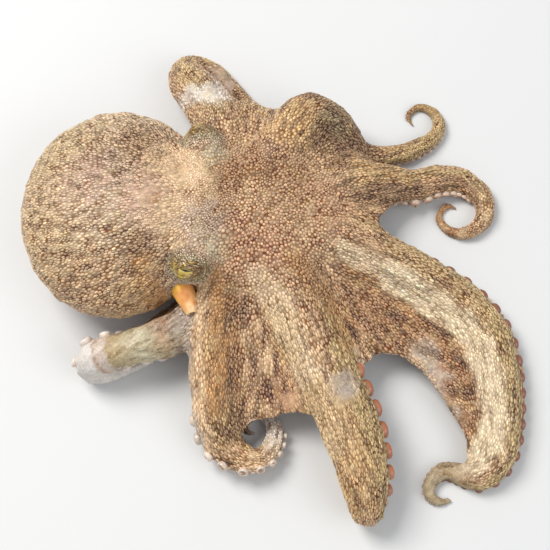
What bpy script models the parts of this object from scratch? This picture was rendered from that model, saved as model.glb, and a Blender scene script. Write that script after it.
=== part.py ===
"""A common octopus at rest on a level surface, life size, as one still model in named pieces.

The flesh is modelled whole: a sac for the mantle, a head, eight tapering arms and the web between
them are fused into one body, which is then parted by thin cuts into mantle, head, web and lengths
of arm.  The eyes and the funnel are made by themselves.  X runs from the mantle's end (-) towards
the arms (+), Y to the animal's left, Z up, and the floor is at Z = 0.
"""

import math

import bmesh
import bpy
import numpy as np
from mathutils import Vector

MM = 0.001

# Driving dimensions, in millimetres.  The mantle, head and crown are ovals: middle, half sizes.
MANTLE_MIDDLE = (-62.5, 23.2, 23.5)
MANTLE_HALF = (39.0, 43.5, 25.0)
MANTLE_GAP = 4.2  # kept free between the mantle and the arms beside it
NAPE = ((-43.0, 23.0, 27.5), (22.0, 20.0, 17.0))
HEAD = ((-30.0, 24.0, 27.0), (19.0, 26.5, 17.0))
SHOULDER = ((-15.0, 23.0, 25.5), (22.0, 26.0, 13.5))
CROWN = ((-4.0, 22.0, 23.0), (31.0, 32.0, 14.0))
# Each eye: the middle of its mound and the way it looks out.
EYES = {"eye_right": ((-32.0, -1.0, 33.5), (-0.25, -0.8, 0.55)),
        "eye_left": ((-28.5, 46.5, 33.5), (-0.15, 0.8, 0.55))}
EYE_RADIUS = 6.4
EYE_FORWARD = 3.2
BROW_RADIUS = 9.4
# The funnel's route, as an arm's below, and its blind bore's radius and depth.
FUNNEL_ROUTE = [(-47, 8, 22, 7.5, 0), (-41.5, -1, 23, 6.2, 0), (-36.5, -8.5, 24.3, 5, 0),
                (-34, -14, 24.5, 3.8, 0), (-32.3, -19, 24.3, 2.2, 0)]
FUNNEL_BORE = (1.2, 6.0)
WEB_THICKNESS = 3.4
CUT = 0.3
FLAT = 0.6  # how far what lies on the floor is pressed flat
SHIFT = (1.622, -3.738)  # brings the middle of the whole to X = 0, Y = 0

# How finely it is worked: the fusing grid, the flesh's triangles before the cuts, the shortest
# edge kept, the angle in degrees under which faces count as level, the step along a route, and
# the slanted line along which a mesh's parts are put in order.
FUSE_GRID = 1.3
FLESH_TRIANGLES = 3780
SLIVER = 0.12
LEVEL = 4.0
SAMPLE_STEP = 2.0
ORDER = Vector((1.0, 0.3719, 0.1373))

# Each arm's route over the floor from under the crown to its tip: x, y, height of the middle,
# half width, and roll of the sucker side in degrees.  A height of 0 lays the arm on the floor.
ARMS = {
    "arm_r1": [(-5, 21, 26, 11, 0), (10, 18, 24, 11, 0), (28, 13, 20, 10.5, 0), (47, 5, 15, 10, 0),
               (61, -1, 10, 9.8, -10), (74, -9, 0, 9.4, -20), (83, -20, 0, 9.2, -25),
               (87, -32, 0, 9, -25), (88, -49, 0, 8.6, -25), (87, -65, 0, 7.8, -20),
               (84, -74, 0, 6.8, -10), (78, -79, 0, 5.4, 0), (71, -77, 0, 4.4, 0),
               (65, -76, 0, 3.6, 0), (60.5, -80, 0, 3.2, 0), (59.5, -85, 0, 2.8, 0),
               (63, -88, 0, 2.2, 0), (67.5, -87, 0, 1.3, 0)],
    "arm_r2": [(-5, 18, 26, 11, 0), (4, -1, 24, 11, 0), (12, -23, 21, 11, 0), (20, -42, 19, 11.5, -15),
               (27.5, -60, 18, 11.5, -25), (32, -75.5, 17, 10.3, -30), (33.8, -85.5, 15.5, 8.7, -20),
               (34.5, -92.5, 11, 6.7, 0), (33, -91.5, 5, 4.6, 0), (31, -85, 0, 3.6, 0),
               (27, -76, 0, 2.9, 0), (24, -68, 0, 2.2, 0), (24, -61, 0, 1.4, 0)],
    "arm_r3": [(-14, 12, 24, 10, 0), (-21, -3, 22, 9.5, 0), (-24, -16, 19, 9, 0), (-25, -31, 15, 9, 0),
               (-24, -46, 12, 9, 0), (-23, -58, 10, 8.6, 10), (-19, -67, 0, 7.8, 50),
               (-12, -73, 0, 6.6, 85), (-4, -71.5, 0, 5.2, 90), (0, -64.5, 0, 4.2, 70),
               (-1.5, -57, 0, 3.4, 40), (-7, -52.5, 0, 2.7, 20), (-12, -55.5, 0, 2.1, 0),
               (-11, -60.5, 0, 1.6, 0), (-7.5, -61, 0, 1.2, 0)],
    "arm_r4": [(-15, 17, 18, 9, 0), (-23, -1, 12, 10, 0), (-32, -13, 11.5, 11.8, 0),
               (-42, -21.5, 13, 12.2, 0), (-50, -27.5, 15.5, 9.4, 0), (-57.5, -31, 16.5, 7.2, 0),
               (-64, -32.5, 15.5, 7.2, 40), (-69.5, -34, 13, 8.4, 75), (-72, -36.5, 7.5, 6.2, 90),
               (-67, -38, 4, 4.2, 60), (-60, -35.5, 0, 3.2, 20), (-52, -32, 0, 2.5, 0),
               (-45, -28, 0, 1.9, 0), (-42, -22, 0, 1.2, 0)],
    "arm_l1": [(-3, 26, 26, 10.5, 0), (14, 33, 22, 10, 0), (31, 39, 18, 9.5, 0), (46, 41, 12, 8.6, 15),
               (58, 43, 0, 7.6, 25), (68, 46, 0, 6.7, 25), (79, 46, 0, 5.7, 15), (87, 40, 0, 4.8, 0),
               (88, 31, 0, 4.1, 0), (82, 24, 0, 3.4, 0), (74, 24, 0, 2.7, 0), (69, 30, 0, 2.1, 0),
               (72, 36, 0, 1.6, 0), (77, 35, 0, 1.2, 0)],
    "arm_l2": [(-5, 30, 26, 10, 0), (0, 45, 27, 10.5, 0), (7, 57, 28, 10.5, 0), (14, 65, 26, 10, 0),
               (22, 66, 20, 9, 0), (29, 62.5, 13, 7.6, 0), (36, 59, 0, 6.2, 0), (44, 57.8, 0, 5.2, 0),
               (52, 59, 0, 4.7, 0), (60, 61.5, 0, 4.3, 0), (67, 66, 0, 3.8, 0), (71, 73, 0, 3.3, 0),
               (69, 80, 0, 2.7, 0), (63, 83, 0, 2.2, 0), (58, 79, 0, 1.7, 0), (60, 74, 0, 1.2, 0)],
    "arm_l3": [(-11, 32, 24, 9.5, 0), (-16, 47, 22, 10, 0), (-22, 62, 19, 10.5, 0),
               (-28.5, 76, 16, 10.5, 0), (-35, 86, 13, 9.8, 0), (-38, 94, 9, 8.4, 0),
               (-34.5, 99.5, 0, 6.8, 0), (-27, 97.5, 0, 5.7, 0), (-20, 91.5, 0, 4.9, 0),
               (-13.5, 84.5, 0, 4.1, 0), (-8.5, 77, 0, 3.4, 0), (-6.5, 70.5, 0, 2.8, 0),
               (-9.5, 66.5, 0, 2.3, 0), (-13, 68.5, 0, 1.8, 0), (-13, 73, 0, 1.2, 0)],
    "arm_l4": [(-19, 37, 15, 8.5, 0), (-27, 49, 11, 8, 0), (-37, 57.5, 8, 7, 0), (-48, 62, 0, 6.2, 0),
               (-58, 63.5, 0, 5.8, 0), (-68, 62.5, 0, 5.4, 0), (-77, 59.5, 0, 4.8, 0), (-84, 55, 0, 4.2, 0),
               (-89.5, 49, 0, 3.4, 0), (-93.5, 42, 0, 2.5, 0), (-96, 36, 0, 1.8, 0), (-97, 31, 0, 1.2, 0)],
}

# The rows of suckers that show beyond an arm's edge: the side (1 left of the way to the tip, seen
# from below), and the lengths along the arm where they start and end.
# Each sucker's radius and pitch are shares of the arm's half width and of its own radius, and it
# sits this many degrees down from the edge.
SUCKER_ROWS = [("arm_r1", 1, 55, 182), ("arm_r2", 1, 38, 128),
               ("arm_r3", -1, 72, 112), ("arm_r3", 1, 74, 112),
               ("arm_r4", -1, 70, 94), ("arm_r4", 1, 70, 94),
               ("arm_l1", -1, 66, 100), ("arm_l2", 1, 70, 104)]
SUCKER_SHARE = 0.31
SUCKER_PITCH = 0.68
SUCKER_ANGLE = 38.0

# Each stretch of web: the two arms it joins, how far it reaches along each, how far its free edge
# draws back between them as a share of that, and the lean of the draw towards the first arm.
WEBS = {
    "web_r3_r2": ("arm_r3", "arm_r2", 84, 86, 0.10, 1.0),
    "web_r2_r1": ("arm_r2", "arm_r1", 86, 176, 0.36, 0.76),
    "web_r1_l1": ("arm_r1", "arm_l1", 88, 68, 0.36, 1.0),
    "web_l1_l2": ("arm_l1", "arm_l2", 70, 88, 0.10, 1.0),
    "web_l2_l3": ("arm_l2", "arm_l3", 58, 68, 0.10, 1.0),
}

BESIDE_MANTLE = ("arm_r4", "arm_l4", "arm_l3")
ROUND = 16  # sides of a tube
BACK_SHARE = 0.95  # an arm's height above its middle, as a share of its half width
FACE_SHARE = 0.75  # and below it
WEB_LIFT = 0.30  # the web's height above the arms' middles, as a share of their half width
WEB_SIDE = 0.88  # where the web parts from an arm, as a share of its half width

# The cuts: the neck's plate and its outline, the head's plan, the point in it from which the
# cuts between arms run out, how far apart two arms are where their web starts, the pairs of arms
# with no web between them, and the two lengths along each arm where it is parted.
NECK_MIDDLE = (-38.5, 25.0, 26.0)
NECK_ACROSS = (1.0, -0.17, -0.2)
NECK_OUTLINE = [(-30, -34), (20, -34), (24, -17), (27, -13.5), (33, -8), (36.5, 0),
                (36, 40), (-43, 40), (-43.6, 2), (-43.4, -6), (-41, -11), (-37, -16)]
HEAD_PLAN = ((-29.0, 22.8), (20.0, 35.5))
CROWN_POINT = (-16.0, 23.0)
PARTED = 2.6
UNWEBBED = {"rear_right": ("arm_r4", "arm_r3", 62, 62), "rear_left": ("arm_l3", "arm_l4", 62, 48)}
LENGTHS = {"arm_r1": (92, 150), "arm_r2": (62, 143), "arm_r3": (62, 106), "arm_r4": (56, 103),
           "arm_l1": (60, 104), "arm_l2": (60, 100), "arm_l3": (50, 92), "arm_l4": (46, 78)}
TALL = 70.0

SKIN = {"mantle": (0.42, 0.32, 0.20), "head": (0.50, 0.42, 0.28), "arm": (0.40, 0.31, 0.17),
        "web": (0.33, 0.24, 0.14), "funnel": (0.75, 0.42, 0.10), "eye": (0.30, 0.30, 0.06)}


def clear_scene():
    for item in list(bpy.data.objects):
        bpy.data.objects.remove(item)


def new_object(name, points, faces):
    """A mesh object from points in millimetres."""
    mesh = bpy.data.meshes.new(name)
    mesh.from_pydata((np.asarray(points) * MM).tolist(), [], [list(map(int, f)) for f in faces])
    thing = bpy.data.objects.new(name, mesh)
    bpy.context.scene.collection.objects.link(thing)
    return thing


def smooth_route(points, step=SAMPLE_STEP):
    """Evenly spaced samples of a Catmull-Rom curve through an arm's points, and the run to each."""
    p = np.array(points, float)
    lying = FACE_SHARE + (1 - FACE_SHARE) * np.abs(np.sin(np.radians(p[:, 4])))
    p[:, 2] = np.maximum(p[:, 2], lying * p[:, 3] - FLAT)
    padded = np.vstack([2 * p[0] - p[1], p, 2 * p[-1] - p[-2]])
    t = np.linspace(0, 1, 13)[:-1][:, None]
    spans = [0.5 * (2 * b + (c - a) * t + (2 * a - 5 * b + 4 * c - d) * t**2
                    + (3 * b - a - 3 * c + d) * t**3)
             for a, b, c, d in zip(padded, padded[1:], padded[2:], padded[3:])]
    fine = np.vstack([*spans, p[-1:]])
    run = np.concatenate([[0], np.cumsum(np.linalg.norm(np.diff(fine[:, :3], axis=0), axis=1))])
    even = np.linspace(0, run[-1], max(2, round(run[-1] / step)) + 1)
    return np.column_stack([np.interp(even, run, column) for column in fine.T]), even


def unit(v):
    return v / np.linalg.norm(v, axis=-1, keepdims=True)


def arm_frames(route):
    """Along the arm, towards its sucker face, and sideways, at each sample."""
    along = unit(np.gradient(route[:, :3], axis=0))
    face = np.array([0.0, 0.0, -1.0])
    faces = []
    for a in along:
        face = unit(face - a * (a @ face))
        faces.append(face)
    faces = np.array(faces)
    roll = np.radians(route[:, 4])[:, None]
    faces = np.cos(roll) * faces + np.sin(roll) * np.cross(faces, along)
    return along, faces, np.cross(along, faces)


def clear_of_mantle(points):
    """Moves points that lie in or too near the mantle straight out from its middle."""
    reach = np.array(MANTLE_HALF) + MANTLE_GAP
    steps = (points - MANTLE_MIDDLE) / reach
    far = np.linalg.norm(steps, axis=1, keepdims=True)
    return MANTLE_MIDDLE + steps / np.minimum(far, 1.0) * reach


def tube(name, route, grow=0.0):
    """A closed tube round a route: an oval, flatter on its sucker face."""
    along, face, side = arm_frames(route)
    turn = np.linspace(0, 2 * math.pi, ROUND, endpoint=False)
    share = np.where(np.sin(turn) > 0, FACE_SHARE, BACK_SHARE)
    radius = route[:, 3] + grow
    across = np.cos(turn)[None, :, None] * side[:, None, :]
    across = across + (share * np.sin(turn))[None, :, None] * face[:, None, :]
    points = (route[:, None, :3] + radius[:, None, None] * across).reshape(-1, 3)
    if name in BESIDE_MANTLE:
        points = clear_of_mantle(points)
    count = len(route)
    faces = [(i + k, i + (k + 1) % ROUND, i + ROUND + (k + 1) % ROUND, i + ROUND + k)
             for i in range(0, (count - 1) * ROUND, ROUND) for k in range(ROUND)]
    faces.append(range(ROUND - 1, -1, -1))
    faces.append(range((count - 1) * ROUND, count * ROUND))
    return outward(new_object(name, points, faces))


def outward(thing):
    """Turns a closed mesh's faces outwards."""
    mesh = bmesh.new()
    mesh.from_mesh(thing.data)
    bmesh.ops.recalc_face_normals(mesh, faces=mesh.faces)
    mesh.to_mesh(thing.data)
    mesh.free()
    return thing


def ball(name, middle, half, segments=32, rings=20):
    """An oval solid."""
    mesh = bmesh.new()
    bmesh.ops.create_uvsphere(mesh, u_segments=segments, v_segments=rings, radius=1.0)
    for vertex in mesh.verts:
        vertex.co = Vector([(m + h * c) * MM for m, h, c in zip(middle, half, vertex.co)])
    data = bpy.data.meshes.new(name)
    mesh.to_mesh(data)
    mesh.free()
    thing = bpy.data.objects.new(name, data)
    bpy.context.scene.collection.objects.link(thing)
    return thing


def along_route(sampled, run, lengths):
    """The route's place, half width and roll at lengths along it."""
    return np.column_stack([np.interp(lengths, run, column) for column in sampled.T])


def web_sheet(name, arms, spec):
    """A thin sheet from one arm's middle to the next, sagging between, its free edge hollowed."""
    first, second, depth_a, depth_b, draw, lean = spec
    u = np.linspace(0, 1, 30)[:, None]
    v = np.linspace(0, 1, 25)[None, :]
    reach = u * (1 - draw * np.sin(math.pi * v**lean) ** 1.3)
    a = along_route(*arms[first], (reach * depth_a).ravel()).reshape(*reach.shape, 5)
    b = along_route(*arms[second], (reach * depth_b).ravel()).reshape(*reach.shape, 5)
    v = v[..., None]
    middle = (1 - v) * a[..., :3] + v * b[..., :3]
    radius = (1 - v[..., 0]) * a[..., 3] + v[..., 0] * b[..., 3]
    span = np.linalg.norm(a[..., :2] - b[..., :2], axis=-1)
    sag = 0.10 * np.maximum(span - 14, 0) * np.sin(math.pi * v[..., 0])
    middle[..., 2] += WEB_LIFT * radius - sag
    middle[..., 2] = np.maximum(middle[..., 2], WEB_THICKNESS * 0.5)
    rows, columns = reach.shape
    top = middle + (0, 0, WEB_THICKNESS / 2)
    bottom = middle - (0, 0, WEB_THICKNESS / 2)
    points = np.vstack([top.reshape(-1, 3), bottom.reshape(-1, 3)])
    low = rows * columns
    faces = []
    for i in range(rows - 1):
        for j in range(columns - 1):
            k = i * columns + j
            faces.append((k, k + 1, k + columns + 1, k + columns))
            faces.append((low + k, low + k + columns, low + k + columns + 1, low + k + 1))
    rim = ([j for j in range(columns)] + [i * columns + columns - 1 for i in range(1, rows)]
           + [(rows - 1) * columns + j for j in range(columns - 2, -1, -1)]
           + [i * columns for i in range(rows - 2, 0, -1)])
    faces += [(p, q, low + q, low + p) for p, q in zip(rim, rim[1:] + rim[:1])]
    return outward(new_object(name, points, faces))


def sucker_row(route, run, sign, start, end):
    """Small balls half sunk along one edge of an arm's sucker face, as large as the arm allows."""
    along, face, side = arm_frames(route)
    turn = math.radians(SUCKER_ANGLE)
    outwards = sign * math.cos(turn) * side + FACE_SHARE * math.sin(turn) * face
    edge = route[:, :3] + route[:, 3:4] * outwards
    made = []
    length = start
    while length < end:
        radius = SUCKER_SHARE * np.interp(length, run, route[:, 3])
        place = [np.interp(length, run, column) for column in edge.T]
        made.append(ball("sucker", place, (radius,) * 3, 10, 6))
        length += SUCKER_PITCH / SUCKER_SHARE * radius
    return made


def evaluated(thing):
    """The object's mesh with its modifiers applied."""
    graph = bpy.context.evaluated_depsgraph_get()
    mesh = bpy.data.meshes.new_from_object(thing.evaluated_get(graph))
    thing.modifiers.clear()
    thing.data = mesh
    return thing


def joined(name, things):
    """Several meshes as one object, still overlapping."""
    whole = bmesh.new()
    for thing in things:
        whole.from_mesh(thing.data)
        bpy.data.objects.remove(thing)
    data = bpy.data.meshes.new(name)
    whole.to_mesh(data)
    whole.free()
    made = bpy.data.objects.new(name, data)
    bpy.context.scene.collection.objects.link(made)
    return made


def relax(thing, rounds):
    """Evens out the grid's steps without shrinking the thin tips: each round smooths, then swells."""
    mesh = thing.data
    count = len(mesh.vertices)
    points = np.empty(count * 3)
    mesh.vertices.foreach_get("co", points)
    points = points.reshape(-1, 3)
    ends = np.empty(len(mesh.edges) * 2, int)
    mesh.edges.foreach_get("vertices", ends)
    a, b = ends.reshape(-1, 2).T
    degree = np.bincount(np.concatenate([a, b]), minlength=count)[:, None]
    for share in (0.55, -0.57) * rounds:
        total = [np.bincount(a, points[b, k], count) + np.bincount(b, points[a, k], count)
                 for k in range(3)]
        total = np.column_stack(total)
        points += share * (total / degree - points)
    mesh.vertices.foreach_set("co", points.ravel())
    mesh.update()


def fuse(thing):
    """One closed skin round everything, evened out and brought down to few triangles."""
    remesh = thing.modifiers.new("fuse", "REMESH")
    remesh.mode = "VOXEL"
    remesh.voxel_size = FUSE_GRID * MM
    evaluated(thing)
    relax(thing, 5)
    triangles = 2 * len(thing.data.polygons)
    thin = thing.modifiers.new("thin", "DECIMATE")
    thin.ratio = FLESH_TRIANGLES / triangles
    thin.use_collapse_triangulate = True
    return evaluated(thing)


def cut(thing, knife):
    """Takes the knife's solid out of the object."""
    boolean = thing.modifiers.new("cut", "BOOLEAN")
    boolean.operation = "DIFFERENCE"
    boolean.solver = "EXACT"
    boolean.object = knife
    evaluated(thing)
    bpy.data.objects.remove(knife)


def plate(middle, normal, outline):
    """A thin plate across a direction, its outline given as steps sideways and upwards."""
    n = unit(np.array(normal, float))
    side = unit(np.cross((0, 0, 1), n))
    rise = np.cross(n, side)
    ring = [np.array(middle) + side * w + rise * h for w, h in outline]
    count = len(ring)
    points = [p + n * t * CUT / 2 for t in (-1, 1) for p in ring]
    faces = [(k, (k + 1) % count, count + (k + 1) % count, count + k) for k in range(count)]
    faces += [range(count - 1, -1, -1), range(count, 2 * count)]
    return outward(new_object("knife", points, faces))


def across_arm(radius, roll, margin, count=12):
    """The outline of a plate that just clears an arm."""
    turn = np.linspace(0, 2 * math.pi, count, endpoint=False)
    low = FACE_SHARE + (1 - FACE_SHARE) * abs(math.sin(math.radians(roll)))
    share = np.where(np.sin(turn) > 0, 1.0, low)
    return np.column_stack([(radius + margin) * np.cos(turn), (share * radius + margin) * np.sin(turn)])


def wall(line):
    """A thin upright wall along an open line in plan, from below the floor to above the animal."""
    line = np.array(line, float)
    edge = unit(np.diff(line, axis=0))
    edge = np.vstack([edge[:1], edge, edge[-1:]])
    before = np.column_stack([edge[:-1, 1], -edge[:-1, 0]])
    after = np.column_stack([edge[1:, 1], -edge[1:, 0]])
    mitre = unit(before + after)
    reach = (CUT / 2) / np.maximum(np.sum(mitre * after, axis=1, keepdims=True), 0.4)
    count = len(line)
    both = np.vstack([line - mitre * reach, line + mitre * reach])
    points = [(*p, z) for z in (-5.0, TALL) for p in both]
    faces = []
    for k in range(count - 1):
        quad = np.array((k, k + 1))
        for a, b in ((0, count), (count, 3 * count), (3 * count, 2 * count), (2 * count, 0)):
            faces.append((*(quad + a), *(quad[::-1] + b)))
    for k in (0, count - 1):
        faces.append((k, count + k, 3 * count + k, 2 * count + k))
    return outward(new_object("knife", points, faces))


def parting(arms, first, second, depth_a, depth_b):
    """The plan of a web: out along the side of each arm from where they part, and the line between
    the arms up to there."""
    share = np.linspace(0, 1, 200)
    a = along_route(*arms[first], share * (depth_a + 4))
    b = along_route(*arms[second], share * (depth_b + 4))
    side_a = unit(np.cross(unit(np.gradient(a[:, :3], axis=0)), (0, 0, 1))[:, :2])
    side_b = unit(np.cross(unit(np.gradient(b[:, :3], axis=0)), (0, 0, 1))[:, :2])
    apart = np.linalg.norm(b[:, :2] - a[:, :2], axis=1) - WEB_SIDE * (a[:, 3] + b[:, 3])
    start = len(apart) - np.argmax(apart[::-1] < PARTED)
    toward = 1.0 if np.sum((b[start, :2] - a[start, :2]) * side_a[start]) > 0 else -1.0
    line_a = a[:, :2] + toward * WEB_SIDE * a[:, 3:4] * side_a
    line_b = b[:, :2] - toward * WEB_SIDE * b[:, 3:4] * side_b
    points = max(4, round(max(depth_a, depth_b) * (1 - start / 200) / 11))
    picks = np.linspace(start, 199, points).astype(int)
    step = toward * min(7.0, 0.45 * apart[-1])
    around = np.vstack([line_a[-1] + step * side_a[-1], line_a[picks[::-1]], line_b[picks],
                        line_b[-1] - step * side_b[-1]])
    between = (a[:start:10, :2] + b[:start:10, :2]) / 2
    between = between[np.linalg.norm((between - HEAD_PLAN[0]) / HEAD_PLAN[1], axis=1) > 1.0]
    last = (line_a[start] + line_b[start]) / 2
    between = between[np.linalg.norm(between - last, axis=1) > 4]
    stem = np.vstack([[CROWN_POINT], between])
    onward = unit(last - stem[-1])
    return around, np.vstack([stem, last + 0.6 * onward]), onward


def head_line():
    """The head's plan, left open towards the mantle."""
    turn = np.radians(np.linspace(-140, 140, 19))
    return np.array(HEAD_PLAN[0]) + np.column_stack([np.cos(turn), np.sin(turn)]) * HEAD_PLAN[1]


def pieces(thing, least=40.0):
    """The object's separate bodies, without crumbs, as lists of objects with their middles."""
    bpy.context.view_layer.update()
    whole = bmesh.new()
    whole.from_mesh(thing.data)
    label = {}
    parts = []
    for start in whole.verts:
        if start.index in label:
            continue
        label[start.index] = len(parts)
        queue = [start]
        for vertex in queue:
            for edge in vertex.link_edges:
                other = edge.other_vert(vertex)
                if other.index not in label:
                    label[other.index] = len(parts)
                    queue.append(other)
        parts.append(queue)
    made = []
    for queue in parts:
        index = {vertex.index: k for k, vertex in enumerate(queue)}
        faces = {face for vertex in queue for face in vertex.link_faces}
        faces = sorted(faces, key=lambda face: face.index)
        points = [vertex.co / MM for vertex in queue]
        body = new_object("piece", points, [[index[v.index] for v in face.verts] for face in faces])
        if volume(body) > least:
            made.append(body)
        else:
            bpy.data.objects.remove(body)
    whole.free()
    bpy.data.objects.remove(thing)
    return made


def volume(thing):
    """Cubic millimetres inside a closed mesh."""
    mesh = bmesh.new()
    mesh.from_mesh(thing.data)
    cubic = mesh.calc_volume(signed=True) / MM**3
    mesh.free()
    return cubic


def nearest(things, point):
    """The piece with a corner closest to a point."""
    point = Vector(point) * MM
    return min(things, key=lambda thing: min((v.co - point).length for v in thing.data.vertices))


def take(nodes, parts, name, point):
    """Names the piece nearest a point and moves it from the list of parts to the nodes."""
    thing = nearest(parts, point)
    parts.remove(thing)
    nodes[name] = thing


def place_in_order(part):
    """How far a face's or an edge's middle lies along a slanted line that passes each by itself."""
    return sum(vertex.co.dot(ORDER) for vertex in part.verts) / len(part.verts)


def tidied(data):
    """The mesh without slivers and level seams, and with triangles only, still closed.

    Corners, edges and faces are sorted by place first, so that each run gives the same result.
    """
    for share in (1.0, 0.4, 0.1, 0.0):
        mesh = bmesh.new()
        mesh.from_mesh(data)
        mesh.verts.sort(key=lambda vertex: vertex.co.dot(ORDER))
        mesh.edges.sort(key=place_in_order)
        mesh.faces.sort(key=place_in_order)
        if share:
            bmesh.ops.remove_doubles(mesh, verts=mesh.verts, dist=share * SLIVER * MM)
            bmesh.ops.dissolve_degenerate(mesh, edges=mesh.edges, dist=share * SLIVER * MM / 3)
        bmesh.ops.dissolve_limit(mesh, angle_limit=math.radians(LEVEL),
                                 verts=mesh.verts, edges=mesh.edges)
        bmesh.ops.triangulate(mesh, faces=mesh.faces)
        if all(part.is_manifold for part in [*mesh.edges, *mesh.verts]):
            return mesh
        mesh.free()
    raise ValueError(data.name)


def finish(name, thing):
    """Gives a node its name, colour and place about the middle of the whole."""
    thing.name = thing.data.name = name
    mesh = tidied(thing.data)
    bmesh.ops.translate(mesh, verts=mesh.verts, vec=Vector((*SHIFT, 0.0)) * MM)
    mesh.to_mesh(thing.data)
    mesh.free()
    material = bpy.data.materials.new(name)
    material.use_nodes = True
    shader = material.node_tree.nodes["Principled BSDF"]
    shader.inputs["Base Color"].default_value = (*SKIN[name.split("_")[0]], 1.0)
    shader.inputs["Roughness"].default_value = 0.45
    thing.data.materials.clear()
    thing.data.materials.append(material)


clear_scene()
arms = {name: smooth_route(points) for name, points in ARMS.items()}

flesh = [tube(name, route) for name, (route, run) in arms.items()]
flesh += [web_sheet(name, arms, spec) for name, spec in WEBS.items()]
for name, *row in SUCKER_ROWS:
    flesh += sucker_row(*arms[name], *row)
flesh.append(ball("mantle", MANTLE_MIDDLE, MANTLE_HALF))
flesh += [ball("head", *part) for part in (NAPE, HEAD, SHOULDER, CROWN)]
flesh += [ball(name, mound, (BROW_RADIUS,) * 3) for name, (mound, out) in EYES.items()]
body = fuse(joined("flesh", flesh))

# The floor, the sockets and the thin cuts.
slab = [(x, y, z) for z in (-40, 0) for y in (-300, 300) for x in (-300, 300)]
sides = [(0, 2, 3, 1), (4, 5, 7, 6), (0, 1, 5, 4), (2, 6, 7, 3), (0, 4, 6, 2), (1, 3, 7, 5)]
cut(body, new_object("knife", slab, sides))
eye_middles = {name: mound + EYE_FORWARD * unit(np.array(out))
               for name, (mound, out) in EYES.items()}
for place in eye_middles.values():
    cut(body, ball("knife", place, (EYE_RADIUS + CUT,) * 3, 16, 10))
funnel_route, funnel_run = smooth_route(FUNNEL_ROUTE, 5)
cut(body, tube("knife", funnel_route, CUT))

nodes = {}
cut(body, plate(NECK_MIDDLE, NECK_ACROSS, NECK_OUTLINE))
parts = pieces(body)
take(nodes, parts, "mantle", MANTLE_MIDDLE)
(body,) = parts
cut(body, wall(head_line()))
parts = pieces(body)
take(nodes, parts, "head", HEAD[0])
(body,) = parts
for spec in WEBS.values():
    around, stem, onward = parting(arms, *spec[:4])
    cut(body, wall(around))
    cut(body, wall(stem))
for spec in UNWEBBED.values():
    around, stem, onward = parting(arms, *spec)
    cut(body, wall(np.vstack([stem, stem[-1] + 9 * onward])))
parts = pieces(body)
for name, (first, second, depth_a, depth_b, *_) in WEBS.items():
    ends = along_route(*arms[first], [0.7 * depth_a])[0], along_route(*arms[second], [0.7 * depth_b])[0]
    take(nodes, parts, name, (ends[0][:3] + ends[1][:3]) / 2)
for name, (route, run) in arms.items():
    whole = {}
    near, far = LENGTHS[name]
    take(whole, parts, name, along_route(route, run, [near])[0][:3])
    for length in (near, far):
        here = along_route(route, run, [length - 1, length, length + 1])
        outline = across_arm(*here[1][3:], 2.4 if length == near else 1.4)
        cut(whole[name], plate(here[1][:3], here[2][:3] - here[0][:3], outline))
    lengths = pieces(whole[name], least=10.0)
    for part, at in (("base", near / 2), ("mid", (near + far) / 2), ("tip", (far + run[-1]) / 2)):
        take(nodes, lengths, f"{name}_{part}", along_route(route, run, [at])[0][:3])
    assert not lengths, name
assert not parts, parts

# The eyes and the funnel, made by themselves.
for name, place in eye_middles.items():
    nodes[name] = ball(name, place, (EYE_RADIUS,) * 3, 16, 10)
nodes["funnel"] = tube("funnel", funnel_route)
radius, depth = FUNNEL_BORE
bore = along_route(funnel_route, funnel_run, np.linspace(funnel_run[-1] - depth, funnel_run[-1], 5))
bore = np.vstack([bore, 2 * bore[-1] - bore[-2]])
bore[:, 3] = radius
cut(nodes["funnel"], tube("knife", bore))

for name, thing in nodes.items():
    finish(name, thing)
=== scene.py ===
"""The looks of a common octopus at rest, life size.

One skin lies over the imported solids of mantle, head, web and arms. On it stand the pale granules
of its hide, and with it go the suckers, the eyes and the funnel. It rests on a pale floor.

Lengths are in millimetres until a mesh is made. X runs from the mantle's end towards the arms, Y
to the animal's left and Z up, and the floor is at Z = 0.
"""

import math

import bmesh
import bpy
import numpy as np
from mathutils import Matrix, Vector


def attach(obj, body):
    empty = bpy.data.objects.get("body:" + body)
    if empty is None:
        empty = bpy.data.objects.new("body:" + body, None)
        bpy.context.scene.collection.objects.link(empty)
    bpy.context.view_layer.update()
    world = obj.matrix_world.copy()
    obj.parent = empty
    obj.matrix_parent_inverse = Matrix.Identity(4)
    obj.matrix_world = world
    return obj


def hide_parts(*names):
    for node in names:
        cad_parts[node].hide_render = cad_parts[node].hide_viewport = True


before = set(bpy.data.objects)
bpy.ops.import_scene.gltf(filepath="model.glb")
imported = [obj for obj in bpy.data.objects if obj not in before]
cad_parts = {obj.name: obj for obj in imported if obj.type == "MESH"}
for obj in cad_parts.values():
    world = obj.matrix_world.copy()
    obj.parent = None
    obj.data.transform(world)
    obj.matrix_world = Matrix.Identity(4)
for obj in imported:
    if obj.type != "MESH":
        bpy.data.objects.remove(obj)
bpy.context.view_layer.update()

# --- The flesh's shape ------------------------------------------------------------------------
# Mantle, head, arms and web are one soft body. Each is a closed grid swept along a route or
# round a middle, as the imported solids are, and thinner than they are by the granules' depth.
# COAT is their depth, STEP and ROUND sample the arms along and round, and the shares are an arm's
# half heights by its half width. SHIFT is the way from the routes' middle to the frame's.
MM = 0.001
COAT = 0.35
SHIFT = np.array((1.622, -3.738, 0.0))
STEP = 1.5
ROUND = 24
BACK_SHARE = 0.95
FACE_SHARE = 0.75
FLAT = 0.6
TIP_ROUNDING = 0.6

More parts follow.
